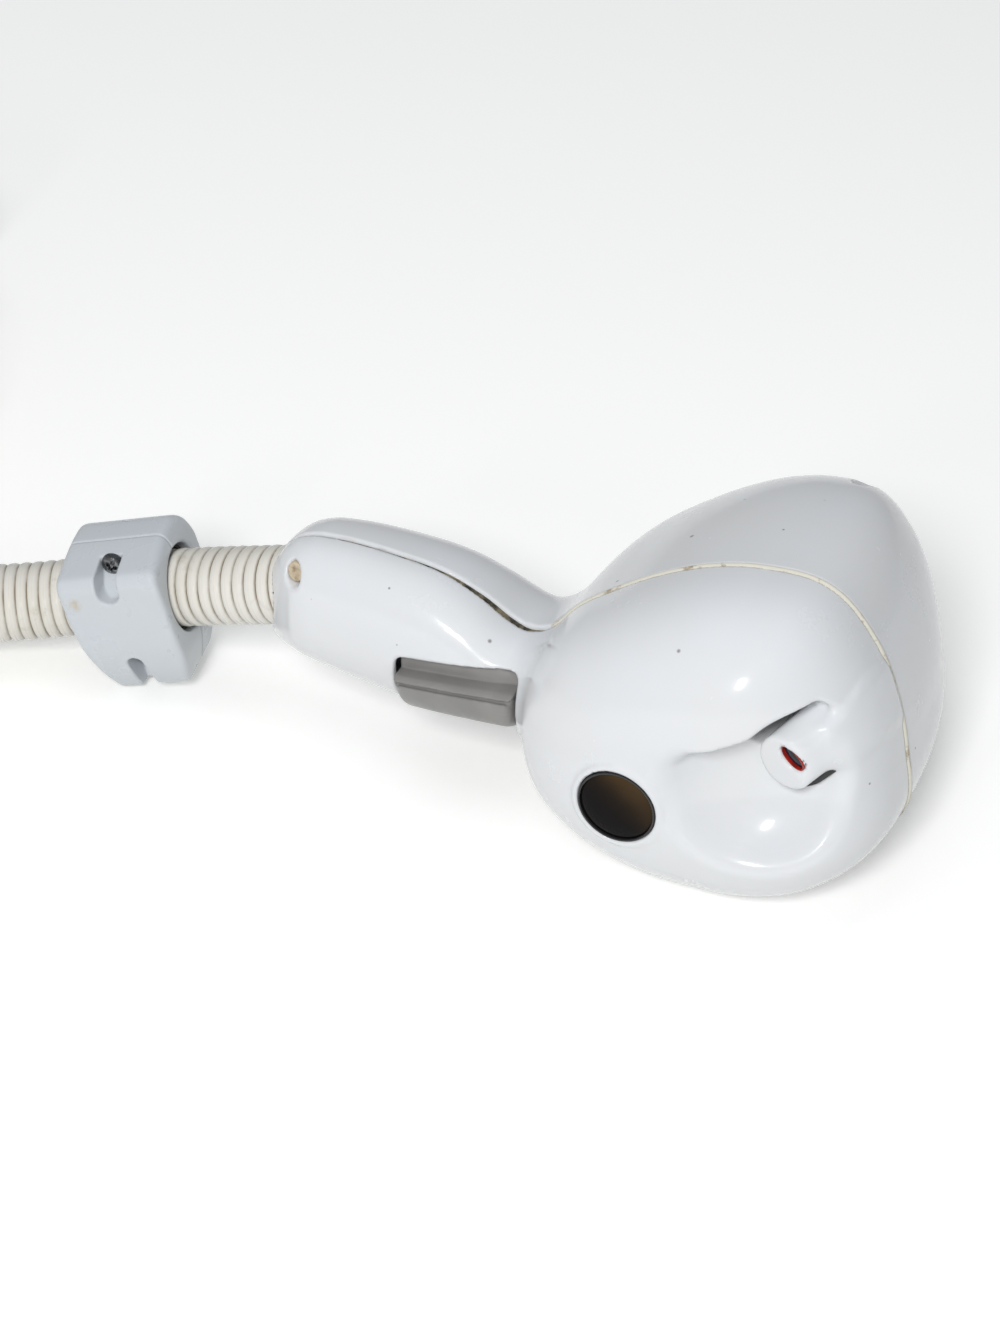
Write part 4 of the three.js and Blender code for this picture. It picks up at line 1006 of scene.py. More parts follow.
# %% [markdown]
# ## Turned pieces
#
# The window, its ring and the connector are round, so they are spun like work on a lathe:
# a list of radius and height pairs is swept round an axis. A nut is the same spin with six
# sides. The spin's ends close at a pole or at the profile's first point.

# %% The lathe
POLE = 1e-6                        # a radius below this is a point on the axis


def turned(profile, at, axis, around=96):
    """A closed spin of [radius, height] pairs about an axis, with its faces outwards."""
    profile = np.array(profile, float)
    closed = profile[0, 0] > POLE
    forward = unit(axis)
    side = unit(np.cross(forward, (0.0, 0.3, 1.0) if abs(forward[2]) < 0.9 else (1.0, 0.0, 0.0)))
    other = np.cross(forward, side)
    a = np.linspace(0, 2 * np.pi, around, endpoint=False)
    ring = np.cos(a)[:, None] * side + np.sin(a)[:, None] * other
    points, rows = [], []
    for r, h in profile:
        middle = np.asarray(at, float) + forward * h
        if r < POLE:
            rows.append([len(points)] * around)
            points.append(middle)
        else:
            rows.append(list(range(len(points), len(points) + around)))
            points.extend(middle + r * ring)
    after = np.roll(profile, -1, axis=0)
    if np.sum(profile[:, 0] * after[:, 1] - after[:, 0] * profile[:, 1]) > 0:
        rows.reverse()
    faces = []
    pairs = list(zip(rows, rows[1:])) + ([(rows[-1], rows[0])] if closed else [])
    for low, high in pairs:
        for i in range(around):
            j = (i + 1) % around
            corners = dict.fromkeys((low[i], high[i], high[j], low[j]))
            if len(corners) > 2:
                faces.append(tuple(corners))
    return np.array(points), faces


def rounded(profile, r, steps=5):
    """The same outline with its inner corners rounded by arcs, corner by corner."""
    out = [profile[0]]
    for before, here, after in zip(profile, profile[1:], profile[2:]):
        b, h, a = (np.array(v, float) for v in (before, here, after))
        back, on = b - h, a - h
        reach = min(r, np.linalg.norm(back) * 0.45, np.linalg.norm(on) * 0.45)
        start, end = h + unit(back) * reach, h + unit(on) * reach
        for t in np.linspace(0, 1, steps):
            out.append(tuple((1 - t)**2 * start + 2 * t * (1 - t) * h + t * t * end))
    out.append(profile[-1])
    return out


# %% [markdown]
# ## The window
#
# The receiver looks out through a round filter, nearly black. Towards its upper right a
# bronze sheen is painted into its colour, a painted reflection. It is slightly domed and sits in a thin black
# ring.

# %% The window and its ring
def filter_glass():
    finish = Finish("filter_glass", (0.010, 0.008, 0.007), 0.14, ior=1.36, specular_ior_level=0.12)
    up = (finish.part("Z") - (ORIGIN[2] + WINDOW["z"]) * MM) / MM
    right = (finish.part("X") - (ORIGIN[0] + WINDOW["x"]) * MM) / MM
    # Painted reflection: the colour turns bronze towards the window's upper right, where the dome shows the
    # light.
    painted_sheen = (up * 0.8 + right * 0.55).between(-5.0, 14.0)
    patch = finish.noise(14, detail=1.0).between(0.3, 0.7)
    painted_bronze_reflection = painted_sheen * painted_sheen * (patch * 0.5 + 0.5)
    finish.feed("Base Color", finish.mix(painted_bronze_reflection, (0.005, 0.004, 0.004), (0.105, 0.062, 0.024)))
    finish.feed("Roughness", finish.noise(2.0, detail=4.0).between(0.3, 0.8) * 0.12 + 0.10)
    return finish


def black_plastic():
    finish = Finish("black_plastic", (0.018, 0.018, 0.019), 0.42)
    finish.feed("Roughness", finish.noise(3.0).between(0.2, 0.8) * 0.2 + 0.32)
    finish.feed("Normal", finish.bump(finish.noise(0.5, detail=2.0), 0.03, 0.4))
    return finish


black = black_plastic()
disc = {"r": WINDOW["r"] - 0.55, "top": 0.75, "dome": 1.5, "back": -3.2}
dome = [(disc["r"] * math.sin(t), disc["top"] - disc["dome"] * (1 - math.cos(t)))
        for t in np.linspace(math.pi / 2, 0, 14)]
window_at = (WINDOW["x"], WINDOW["face"], WINDOW["z"])
glass_profile = [(0, disc["back"]), (disc["r"], disc["back"]), *dome]
window = piece("round_filter", *turned(glass_profile, window_at, (0, -1, 0)), [filter_glass()])
fixed(window, "dark_glass", "round_window")
ring_profile = rounded([(WINDOW["r"], -3.0), (WINDOW["r"], 0.35), (WINDOW["r"] - 0.7, 0.35),
                        (WINDOW["r"] - 0.5, -3.0), (WINDOW["r"], -3.0)], 0.25)
rim = piece("window_rim", *turned(ring_profile[:-1], window_at, (0, -1, 0)), [black])
fixed(rim, "black_plastic")

# %% [markdown]
# ## The emitter's slot
#
# In the nozzle's face an oval red bezel holds a dark lens with a blue coating. A black lip
# round the nozzle's lower side, where it comes through the dish, is painted shadow: a dark
# piece that stands for the nozzle's shadow on the dish.

# %% Bezel, lens and the painted shadow under the nozzle
BEZEL = {"less": 0.06, "top": -0.75, "back": -3.0, "hole": 0.50, "step": -2.4}
LENS = {"inset": 0.60, "back": -3.6, "top": -1.35, "crown": 0.5}
# The black lip under the nozzle is painted shadow: a dark piece where the nozzle's shade falls.
PAINTED_SHADOW = {"thick": 1.7, "stands": 2.6}


def bezel(p):
    """An oval ring, set into the slot."""
    ring = oval(p, BEZEL["less"], BEZEL["top"], BEZEL["back"])
    return np.maximum(ring, -oval(p, BEZEL["hole"], 1, BEZEL["step"]))


def slot_lens(p):
    """The lens: an oval with a crowned face."""
    q = p - slot_middle
    a = q @ slot_long / (SLOT["half"] - LENS["inset"])
    b = q @ slot_across / (SLOT["thin"] - LENS["inset"])
    crown = LENS["top"] - LENS["crown"] * (a * a + b * b)
    return smax(oval(p, LENS["inset"], 1, LENS["back"]), q @ nozzle_axis - crown, 0.1)


def seal(p):
    """Painted shadow: a black lip round the nozzle's lower side, where it meets the dish."""
    lower = smoothstep((-off_nozzle(p)[2] + 1.0) / 6)
    round_nozzle = nozzle(p) - PAINTED_SHADOW["thick"] * lower + 0.6 * (1 - lower)
    return smax(smax(round_nozzle, -dish(p) - PAINTED_SHADOW["stands"], 0.5), body(p) + 2.5, 0.5)


# %% Lacquer and lens coating
def lacquer_red():
    finish = Finish("bezel_red", (0.36, 0.018, 0.010), 0.25, coat_weight=0.5)
    worn = finish.noise(2.5).between(0.35, 0.7)
    finish.feed("Base Color", finish.mix(worn, (0.42, 0.022, 0.010), (0.17, 0.010, 0.008)))
    return finish


def coated_lens():
    finish = Finish("coated_lens", (0.006, 0.009, 0.020), 0.12, coat_weight=0.2, specular_ior_level=0.3)
    tint = finish.noise(4.0, detail=1.0).between(0.35, 0.65)
    finish.feed("Base Color", finish.mix(tint, (0.004, 0.005, 0.009), (0.010, 0.022, 0.055)))
    return finish


red, lens_finish = lacquer_red(), coated_lens()
slot_box = (slot_middle - 7, slot_middle + 7)
bezel_piece = piece("slot_bezel", *skin(bezel, *slot_box, STEP["slot"]), [red])
fixed(bezel_piece, "bezel_red", "emitter_bezel")
lens_piece = piece("slot_lens", *skin(slot_lens, *slot_box, STEP["slot"]), [lens_finish])
fixed(lens_piece, "dark_glass", "emitter_lens")
tip = np.array(NOZZLE["tip"])
# Painted shadow: a black piece under the nozzle that stands for its shadow on the dish.
seal_piece = piece("nozzle_seal", *skin(seal, tip - 15, tip + 15, STEP["seal"]), [black])
fixed(seal_piece, "liner_rubber")

# %% [markdown]
# ## The plug in the grip
#
# A small oval plug covers the screw in the grip. It is softer and yellower than the shell,
# soiled, and dimpled in the middle, so its field is an oval disc less a soft dent.

# %% The plug's form and finish
PLUG_FIT = 0.3                     # the plug is this much smaller than its hole, all round
DIMPLE = {"deep": 0.9, "wide": 0.55, "face": 0.8}
plug_at = np.array((HANDLE_HOLE["x"], HANDLE_HOLE["floor"], HANDLE_HOLE["z"]))


def handle_plug(p):
    """The plug that covers the handle's screw, with a shallow dimple in its face."""
    q = p - plug_at
    wide, tall = HANDLE_HOLE["wide"] - PLUG_FIT, HANDLE_HOLE["tall"] - PLUG_FIT
    size = np.hypot(q[..., 0] / wide, q[..., 2] / tall)
    face = -q[..., 1] - DIMPLE["face"] + DIMPLE["deep"] * np.exp(-(size / DIMPLE["wide"])**2)
    return smax(smax((size - 1) * wide, face, 0.4), q[..., 1] - 1.0, 0.2)


def cream_plastic():
    finish = Finish("cream_plastic", (0.52, 0.44, 0.31), 0.5)
    soiled = finish.noise(3.0, detail=4.0).between(0.45, 0.68)
    finish.feed("Base Color", finish.mix(soiled, (0.56, 0.47, 0.34), (0.24, 0.16, 0.085)))
    return finish


cream = cream_plastic()
plug_piece = piece("handle_plug", *skin(handle_plug, plug_at - 6, plug_at + 6, STEP["plug"]), [cream])
fixed(plug_piece, "cream_plastic", "handle_screw_plug")

# %% [markdown]
# ## The trigger
#
# The trigger is one grey moulding with two parts. A plain skirt closes the opening in the
# grip, set back so that it can swing up behind the shell's edge. Below it a rounded lobe
# stands out for the finger, with a fine groove just under the line where they meet. The
# lobe follows the grip's own form, only larger, so it looks at home in the hand. Its ends
# leave room in the opening for the whole swing.

# %% The trigger's form
TRIGGER = {
    "from": 51.0, "to": 93.2, "skirt": 3.1, "skirt_tall": 7.4, "skirt_back": -10.2, "proud": 4.0,
    "back": 6.5, "joint": -5.0, "slope": 0.115, "corner": 4.0, "rear": 12.6, "off_head": 0.8,
}
GROOVE = {"below": 2.4, "deep": 1.0, "r": 0.7}
UNDERSIDE = {"x": 55, "y": -22, "z": -17.5, "rise": 0.10, "tilt": 0.5}


def trigger(p):
    """Skirt and lobe, hollow behind, with rounded ends."""
    x, y, z = p[..., 0], p[..., 1], p[..., 2]
    line = z - TRIGGER["joint"] - TRIGGER["slope"] * (x - TRIGGER["from"])
    surface = grip(p)
    lobe = smax(surface - TRIGGER["proud"], line, 3.0)
    groove = np.hypot(line + GROOVE["below"], surface - TRIGGER["proud"] + GROOVE["deep"]) - GROOVE["r"]
    lobe = smax(lobe, -groove, 0.8)
    low = z - UNDERSIDE["z"] - UNDERSIDE["rise"] * (x - UNDERSIDE["x"])
    lobe = smax(lobe, -(low + UNDERSIDE["tilt"] * (y - UNDERSIDE["y"])), 6.0)
    skirt = smax(surface + TRIGGER["skirt"], line - TRIGGER["skirt_tall"], 1.5)
    skirt = np.maximum(skirt, y - TRIGGER["skirt_back"])
    both = smax(smin(skirt, lobe, 0.5), -(surface + TRIGGER["back"]), 1.0)
    ends = smax(TRIGGER["from"] - x, x - TRIGGER["to"], 1.0)
    ends = np.maximum(ends, y - TRIGGER["rear"])
    rounded_ends = smax(both, ends, TRIGGER["corner"] * smoothstep(-line / 6) + 0.8)
    return smax(rounded_ends, TRIGGER["off_head"] - head(p), 1.0)


def trigger_grey():
    finish = Finish("trigger_grey", (0.235, 0.228, 0.220), 0.36, coat_weight=0.12, coat_roughness=0.3)
    rubbed = finish.noise(16, detail=3.0).between(0.35, 0.7)
    finish.feed("Base Color", finish.mix(rubbed, (0.215, 0.210, 0.204), (0.262, 0.253, 0.242)))
    finish.feed("Roughness", finish.noise(9, detail=5.0).between(0.3, 0.8) * 0.16 + 0.30)
    finish.feed("Normal", finish.bump(finish.noise(0.8, detail=3.0), 0.02, 0.35))
    return finish


TRIGGER_BOX = ((47, -28, -40), (96, 15, 8))
grey = trigger_grey()
trigger_piece = piece("finger_trigger", *skin(trigger, *TRIGGER_BOX, STEP["trigger"]), [grey])
fixed(trigger_piece, "trigger_grey", "trigger", body_name="trigger")

# %% [markdown]
# ## The clamp collar
#
# The collar is two blocks bolted together round the hose. Its outline is convex both along
# and across the hose, so each outline becomes a soft maximum of its sides, and the block
# is the soft meeting of the two. The front half has a scoop at the top and at the foot for
# the bolts, whose heads sit in them.

# %% The collar's form
COLLAR = {
    "azimuth": 11, "pitch": 15, "half": 18.3, "top": 21.9, "foot": -30, "front": -20.5, "rear": 20.5,
    "bore": 14.9, "slit": 0.16, "seat": -8.2, "top_screw": 17.3, "foot_screw": -18.4,
    "top_scoop": (12.3, 3.9), "foot_scoop": (-17.1, 2.8), "scoop_ramp": 3.9, "scoop_lid": 10.6,
    "nut": 3.6, "nut_thick": 3.0, "nut_at": 8.3,
}
NUT_ROOM = {"side": 0.3, "front": 0.1, "back": 0.2}
az, pitch = math.radians(COLLAR["azimuth"]), math.radians(COLLAR["pitch"])
collar_along = np.array([math.cos(pitch) * math.cos(az), math.cos(pitch) * math.sin(az), math.sin(pitch)])
collar_across = np.array([-math.sin(az), math.cos(az), 0])
collar_frame = np.stack([collar_along, collar_across, np.cross(collar_along, collar_across)])


def collar_place(x, y, z):
    """A place in the collar's own frame, as a place in the working frame."""
    return np.array((x, y, z)) @ collar_frame + np.array(COLLAR_AT)


def collar_block(q):
    """Both halves in one, before the slit, in the collar's own frame."""
    half, top, foot = COLLAR["half"], COLLAR["top"], COLLAR["foot"]
    x, y, z = q[..., 0], q[..., 1], q[..., 2]
    section = soft_planes(y, z, [
        (COLLAR["front"], 15), (COLLAR["front"], -11), (-18, -21), (-13, foot), (11, foot), (18.5, -17),
        (COLLAR["rear"], -8), (COLLAR["rear"], 10), (16, 19), (11, top), (1, top), (-18.5, 18)], 0.5)
    profile = soft_planes(x, z, [
        (-half, top), (-half, 0), (-17.2, -9), (-11.5, foot), (half - 4, foot), (half, -18), (half, 17),
        (half - 3, top + 1), (1 - half, top + 1)], 0.5)
    return smax(section, profile, 2.6)


def scoop(q, end_and_radius, opens):
    """The recess over a bolt head: open on the front, with a round end towards the hose."""
    x, y, z = q[..., 0], q[..., 1], q[..., 2]
    end, radius = end_and_radius
    along = (z - end) * opens
    slot_ = np.where(along > 0, np.abs(x), np.hypot(x, along)) - radius
    floor = y - COLLAR["seat"] + np.maximum(0, COLLAR["scoop_ramp"] - along)
    recess = smax(slot_, floor, 1.0)
    return smax(recess, along - COLLAR["scoop_lid"], 1.0) if opens > 0 else recess


def collar_half(q, front):
    """One half: bored for the hose, with scoops in front or closed nut pockets behind."""
    form = collar_block(q)
    x, y, z = q[..., 0], q[..., 1], q[..., 2]
    form = smax(form, -(np.hypot(y, z) - COLLAR["bore"]), 1.2)
    if front:
        form = smax(form, -scoop(q, COLLAR["top_scoop"], 1), 0.9)
        form = smax(form, -scoop(q, COLLAR["foot_scoop"], -1), 0.9)
        return smax(form, y + COLLAR["slit"], 0.5)
    for bolt_z in (COLLAR["top_screw"], COLLAR["foot_screw"]):
        behind = y - COLLAR["nut_at"]
        round_nut = np.hypot(x, z - bolt_z) - COLLAR["nut"] - NUT_ROOM["side"]
        thick = np.maximum(-NUT_ROOM["front"] - behind, behind - COLLAR["nut_thick"] - NUT_ROOM["back"])
        form = np.maximum(form, -np.maximum(round_nut, thick))
    return smax(form, COLLAR["slit"] - y, 0.5)


def collar_skin(front):
    """The half's skin, laid in the collar's frame and then turned into place."""
    span = ((-19, -22, -32), (19, 0.4, 22)) if front else ((-19, -0.4, -32), (19, 22, 22))
    points, quads = skin(lambda q: collar_half(q, front), *span, STEP["collar"])
    return points @ collar_frame + np.array(COLLAR_AT), quads


# %% The collar's finish
STAIN = {"at": (-13.0, COLLAR["front"], 9.5), "from": 1.0, "to": 3.2}


def collar_finish():
    pale = (0.555, 0.590, 0.625)
    finish = Finish("collar_pale_blue", pale, 0.30, coat_weight=0.25, coat_roughness=0.15)
    cloud = finish.noise(22, detail=3.0).between(0.35, 0.7)
    tone = finish.mix(cloud * 0.5, pale, (0.575, 0.600, 0.620))
    stain_at = tuple(in_row(collar_place(*STAIN["at"])))
    spot = finish.node("ShaderNodeVectorMath", {"operation": "DISTANCE"}, output="Value", inputs={
        0: finish.where, 1: stain_at})
    around = 1 - (spot / MM).between(STAIN["from"], STAIN["to"])
    stain = around * finish.noise(1.8, detail=3.0).between(0.35, 0.6)
    browned = finish.mix(stain * 0.8, tone, (0.50, 0.42, 0.31))
    specks = finish.spots(7.0, 0.12)
    finish.feed("Base Color", finish.mix(specks * 0.7, browned, (0.17, 0.16, 0.15)))
    finish.feed("Roughness", finish.noise(12, detail=5.0).between(0.3, 0.8) * 0.14 + 0.24)
    finish.feed("Normal", finish.bump(finish.noise(2.4, detail=1.5), 0.03, 0.25))
    return finish


pale_blue = collar_finish()
for name, is_front in (("collar_front", True), ("collar_rear", False)):
    made = piece(f"{name}_half", *collar_skin(is_front), [pale_blue])
    fixed(made, "collar_white", name)

# %% [markdown]
# ## The bolts and screws
#
# Two bolts clamp the collar and three screws hold the head, all with pan heads and a cross
# recess. They are one shape at three sizes, so Geometry Nodes place it: each bolt is a point
# that carries its own turn and scale, and the nodes set an instance there and make it real.

# %% One pan-head bolt
BOLT = {
    "r": 3.85, "head": 2.6, "crown_at": 3.2, "crown_r": 6.1, "shank": 2.0, "length": 24.0,
    "cross": 0.62, "cross_half": 2.1, "cross_taper": 0.55, "cross_deep": 1.5,
    "thread": 0.12, "thread_turns": 9.0, "into_head": 0.5,
}
BOLT_BOX = ((-4.5, -4.5, -3.2), (4.5, 4.5, 25))


def bolt(p):
    """A bolt that points along +Z, the underside of its head at zero."""
    x, y, z = p[..., 0], p[..., 1], p[..., 2]
    out = np.hypot(x, y)
    crown = np.sqrt(out**2 + (z - BOLT["crown_at"])**2) - BOLT["crown_r"]
    cap = smax(smax(out - BOLT["r"], crown, 0.8), np.maximum(z, -z - BOLT["head"]), 0.3)
    into = z + BOLT["head"]
    for a, b in ((x, y), (y, x)):
        long_side = np.abs(b) - BOLT["cross_half"] + BOLT["cross_taper"] * into
        arm = np.maximum(np.abs(a) - BOLT["cross"], long_side)
        cap = smax(cap, -np.maximum(arm, into - BOLT["cross_deep"]), 0.15)
    thread = BOLT["thread"] * np.sin(z * BOLT["thread_turns"])
    ends = np.maximum(-z - BOLT["into_head"], z - BOLT["length"])
    return np.minimum(cap, np.maximum(out - BOLT["shank"] - thread, ends))


def zinc():
    finish = Finish("zinc_steel", (0.20, 0.21, 0.215), 0.30, metallic=1.0)
    tarnish = finish.noise(1.6, detail=4.0).between(0.4, 0.7)
    finish.feed("Base Color", finish.mix(tarnish, (0.25, 0.26, 0.265), (0.085, 0.085, 0.085)))
    finish.feed("Roughness", tarnish * 0.25 + 0.24)
    return finish


steel = zinc()
bolt_points, bolt_quads = skin(bolt, *BOLT_BOX, STEP["bolt"])
bolt_mesh = bpy.data.meshes.new("bolt_shape")
bolt_mesh.from_pydata(bolt_points * MM, [], [tuple(int(i) for i in f) for f in bolt_quads])
bolt_mesh.polygons.foreach_set("use_smooth", [True] * len(bolt_mesh.polygons))
bolt_shape = bpy.data.objects.new("bolt_shape", bolt_mesh)
bpy.context.scene.collection.objects.link(bolt_shape)
print("one bolt:", len(bolt_quads), "faces")


# %% Running a geometry tree
def tree_with(name, inputs):
    """A geometry tree with named inputs, its input node and its output node."""
    tree = bpy.data.node_groups.new(name, "GeometryNodeTree")
    tree.interface.new_socket("Geometry", in_out="INPUT", socket_type="NodeSocketGeometry")
    for label, kind in inputs:
        tree.interface.new_socket(label, in_out="INPUT", socket_type="NodeSocket" + kind)
    tree.interface.new_socket("Geometry", in_out="OUTPUT", socket_type="NodeSocketGeometry")
    return tree, tree.nodes.new("NodeGroupInput"), tree.nodes.new("NodeGroupOutput")


def made_real(name, base_mesh, tree, values):
    """Runs a tree on a mesh and keeps the plain mesh that comes out."""
    carrier = bpy.data.objects.new(name, base_mesh)
    bpy.context.scene.collection.objects.link(carrier)
    modifier = carrier.modifiers.new(tree.name, "NODES")
    modifier.node_group = tree
    for item in tree.interface.items_tree:
        if item.in_out == "INPUT" and item.name in values:
            modifier[item.identifier] = values[item.name]
    settled = carrier.evaluated_get(bpy.context.evaluated_depsgraph_get())
    result = bpy.data.meshes.new_from_object(settled)
    carrier.modifiers.clear()
    carrier.data = result
    result.name = name
    print(f"{name}: {len(result.polygons)} faces")
    return carrier


# %% Set the bolts with Geometry Nodes
def bolt_tree():
    tree, given, result = tree_with("set_bolts", [("Bolt", "Object"), ("Finish", "Material")])
    chosen = Sum(tree, given.outputs["Bolt"])
    shape = node(tree, "GeometryNodeObjectInfo", inputs={"Object": chosen}, output="Geometry")
    turn = node(tree, "GeometryNodeInputNamedAttribute", {"data_type": "FLOAT_VECTOR"}, {"Name": "turn"})
    scale = node(tree, "GeometryNodeInputNamedAttribute", {"data_type": "FLOAT"}, {"Name": "size"})
    euler = node(tree, "FunctionNodeEulerToRotation", inputs={0: turn})
    placed = node(tree, "GeometryNodeInstanceOnPoints", inputs={
        "Points": Sum(tree, given.outputs["Geometry"]), "Instance": shape, "Rotation": euler, "Scale": scale})
    real = node(tree, "GeometryNodeRealizeInstances", inputs={"Geometry": placed})
    done = node(tree, "GeometryNodeSetMaterial", inputs={
        "Geometry": real, "Material": Sum(tree, given.outputs["Finish"])})
    tree.links.new(done.socket, result.inputs["Geometry"])
    return tree


CLEAR = 0.3                        # a head stands this far off its seat
PLACES = [                         # place, axis, degrees turned, scale
    (collar_place(0, COLLAR["seat"] - CLEAR, COLLAR["top_screw"]), collar_across, 20, 1.0),
    (collar_place(0, COLLAR["seat"] - CLEAR, COLLAR["foot_screw"]), collar_across, 65, 0.85),
    *(((x, WELL["floor"] + CLEAR, z), (0, -1, 0), 30 * i, 0.71) for i, (x, z) in enumerate(HEAD_SCREWS)),
]
points_mesh = bpy.data.meshes.new("bolt_places")
points_mesh.from_pydata([tuple(in_row(at)) for at, *_ in PLACES], [], [])
points_mesh.attributes.new("turn", "FLOAT_VECTOR", "POINT")
points_mesh.attributes.new("size", "FLOAT", "POINT")
for i, (_, axis, spin, size) in enumerate(PLACES):
    spun = Vector(axis).to_track_quat("Z", "Y").to_matrix() @ Matrix.Rotation(math.radians(spin), 3, "Z")
    points_mesh.attributes["turn"].data[i].vector = spun.to_euler()
    points_mesh.attributes["size"].data[i].value = size
bolts = made_real("bolts", points_mesh, bolt_tree(), {"Bolt": bolt_shape, "Finish": steel.material})
bpy.data.objects.remove(bolt_shape)
fixed(
    bolts, "steel", "collar_screw_top", "collar_screw_bottom",
    "head_screw_1", "head_screw_2", "head_screw_3")

# %% The nuts
nut_r, nut_top = COLLAR["nut"], COLLAR["nut_thick"]
nut_profile = [(2.0, 0), (nut_r - 0.4, 0), (nut_r, 0.3), (nut_r, nut_top - 0.3), (nut_r - 0.4, nut_top),
               (2.0, nut_top)]
for where, screw in (("top", "top_screw"), ("bottom", "foot_screw")):
    nut_at = collar_place(0, COLLAR["nut_at"], COLLAR[screw])
    nut = piece(f"nut_{where}", *turned(nut_profile, nut_at, collar_across, 6), [steel], smooth=False)
    fixed(nut, "steel", f"collar_nut_{where}")

# %% [markdown]
# ## The ribbed hose
#
# The hose is a wound cream duct: broad smooth ribs with fine grooves between them. Its
# shape follows a rule along a path, which is work for Geometry Nodes. A flat grid gets one
# row for each seventh of a rib, every row is carried to its place on the centre line and
# bent into a ring, and the ring's size follows the rib's profile. The depth of the groove
# is kept as an attribute, because the colour turns darker brown there.

# %% The hose's tree
RIBS = {"rows": 7, "around": 30, "full": 0.35}


def hose_tree():
    tree, given, result = tree_with("ribbed_hose", [
        ("Radius", "Float"), ("Pitch", "Float"), ("Groove", "Float"), ("Around", "Int"),
        ("Finish", "Material")])

    def add(kind, settings=None, inputs=None, output=0):
        return node(tree, kind, settings, inputs, output)

    def handed(name):
        return Sum(tree, given.outputs[name])

    line = add("GeometryNodeMeshToCurve", inputs={"Mesh": handed("Geometry")})
    length = add("GeometryNodeCurveLength", inputs={"Curve": line})
    steps = (length / handed("Pitch") * RIBS["rows"]).math("ROUND")
    rows = steps + 3
    grid = add("GeometryNodeMeshGrid", inputs={
        "Size X": 1.0, "Size Y": 1.0, "Vertices X": handed("Around") + 1, "Vertices Y": rows})
    index = add("GeometryNodeInputIndex")
    column = (index / rows + 0.0001).math("FLOOR")
    row = (index - column * rows).math("ROUND")
    cap = row.math("LESS_THAN", 0.5) + row.math("GREATER_THAN", rows - 1.5)
    place = (((row - 1) / steps).clip()) * length
    phase = (((row - 1) / RIBS["rows"]).math("FRACT") * math.pi).math("SINE").math("MAXIMUM", 0.0)
    depth = 1 - phase ** RIBS["full"]
    radius = (handed("Radius") - handed("Groove") * depth) * (1 - cap)
    sample = tree.nodes.new("GeometryNodeSampleCurve")
    sample.mode = "LENGTH"
    plug(tree, sample.inputs["Curves"], line)
    plug(tree, sample.inputs["Length"], place)
    at, tangent, normal = (Sum(tree, sample.outputs[name]) for name in ("Position", "Tangent", "Normal"))
    angle = column / handed("Around") * (2 * math.pi)
    side = add("ShaderNodeVectorMath", {"operation": "CROSS_PRODUCT"}, {0: tangent, 1: normal})

    def scaled(vector, amount):
        made = add("ShaderNodeVectorMath", {"operation": "SCALE"}, {0: vector})
        plug(tree, made.socket.node.inputs["Scale"], amount)
        return made

    one = scaled(normal, angle.math("COSINE") * radius)
    other = scaled(side, angle.math("SINE") * radius)
    off = add("ShaderNodeVectorMath", {"operation": "ADD"}, {0: one, 1: other})
    spot = add("ShaderNodeVectorMath", {"operation": "ADD"}, {0: at, 1: off})
    kept = add("GeometryNodeStoreNamedAttribute", {"data_type": "FLOAT", "domain": "POINT"}, {
        "Geometry": grid, "Name": "groove", "Value": depth})
    bent = add("GeometryNodeSetPosition", inputs={"Geometry": kept, "Position": spot})
    merged = add("GeometryNodeMergeByDistance", inputs={"Geometry": bent, "Distance": 0.00001})
    smooth = add("GeometryNodeSetShadeSmooth", inputs={0: merged})
    real = add("GeometryNodeRealizeInstances", inputs={"Geometry": smooth})
    done = add("GeometryNodeSetMaterial", inputs={"Geometry": real, "Material": handed("Finish")})
    tree.links.new(done.socket, result.inputs["Geometry"])
    return tree


# %% The hose's finish
def hose_cream():
    finish = Finish("hose_cream", (0.62, 0.60, 0.53), 0.30, coat_weight=0.2, coat_roughness=0.2)
    clouds = finish.noise(30, detail=2.0).between(0.4, 0.65)
    tone = finish.mix(clouds, (0.72, 0.70, 0.645), (0.66, 0.635, 0.565))
    groove = finish.attribute("groove")
    # Darker brown towards the bottom of each groove, by how deep it is there.
    groove_darkening = groove.between(0.30, 0.95) * (finish.noise(9, detail=4.0).between(0.35, 0.6) * 0.45 + 0.5)
    browned = finish.mix(groove_darkening, tone, (0.16, 0.115, 0.065))
    smudge = finish.noise(12, detail=5.0, rough=0.7, seat=(0.3, 0, 0)).between(0.58, 0.70)
    finish.feed("Base Color", finish.mix(smudge * 0.35, browned, (0.33, 0.28, 0.20)))
    finish.feed("Roughness", groove * 0.35 + 0.27)
    return finish


# %% Run the hose
line_mesh = bpy.data.meshes.new("hose_line")
chords = [(i, i + 1) for i in range(len(hose_line) - 1)]
line_mesh.from_pydata([tuple(v) for v in in_row(hose_line)], chords, [])
hose = made_real("hose", line_mesh, hose_tree(), {
    "Radius": HOSE["r"] * MM, "Pitch": HOSE["pitch"] * MM, "Groove": HOSE["groove"] * MM,
    "Around": RIBS["around"], "Finish": hose_cream().material})
shell = bmesh.new()
shell.from_mesh(hose.data)
if shell.calc_volume(signed=True) < 0:
    bmesh.ops.reverse_faces(shell, faces=shell.faces)
    shell.to_mesh(hose.data)
print("hose: open edges", sum(1 for e in shell.edges if not e.is_manifold))
shell.free()

# %% [markdown]
# ## The connector
#
# The hose ends in a round plug: a rubber sleeve with grip rings over the hose, a metal
# body, a knurled ring that screws it home, and a black insert with six contacts.

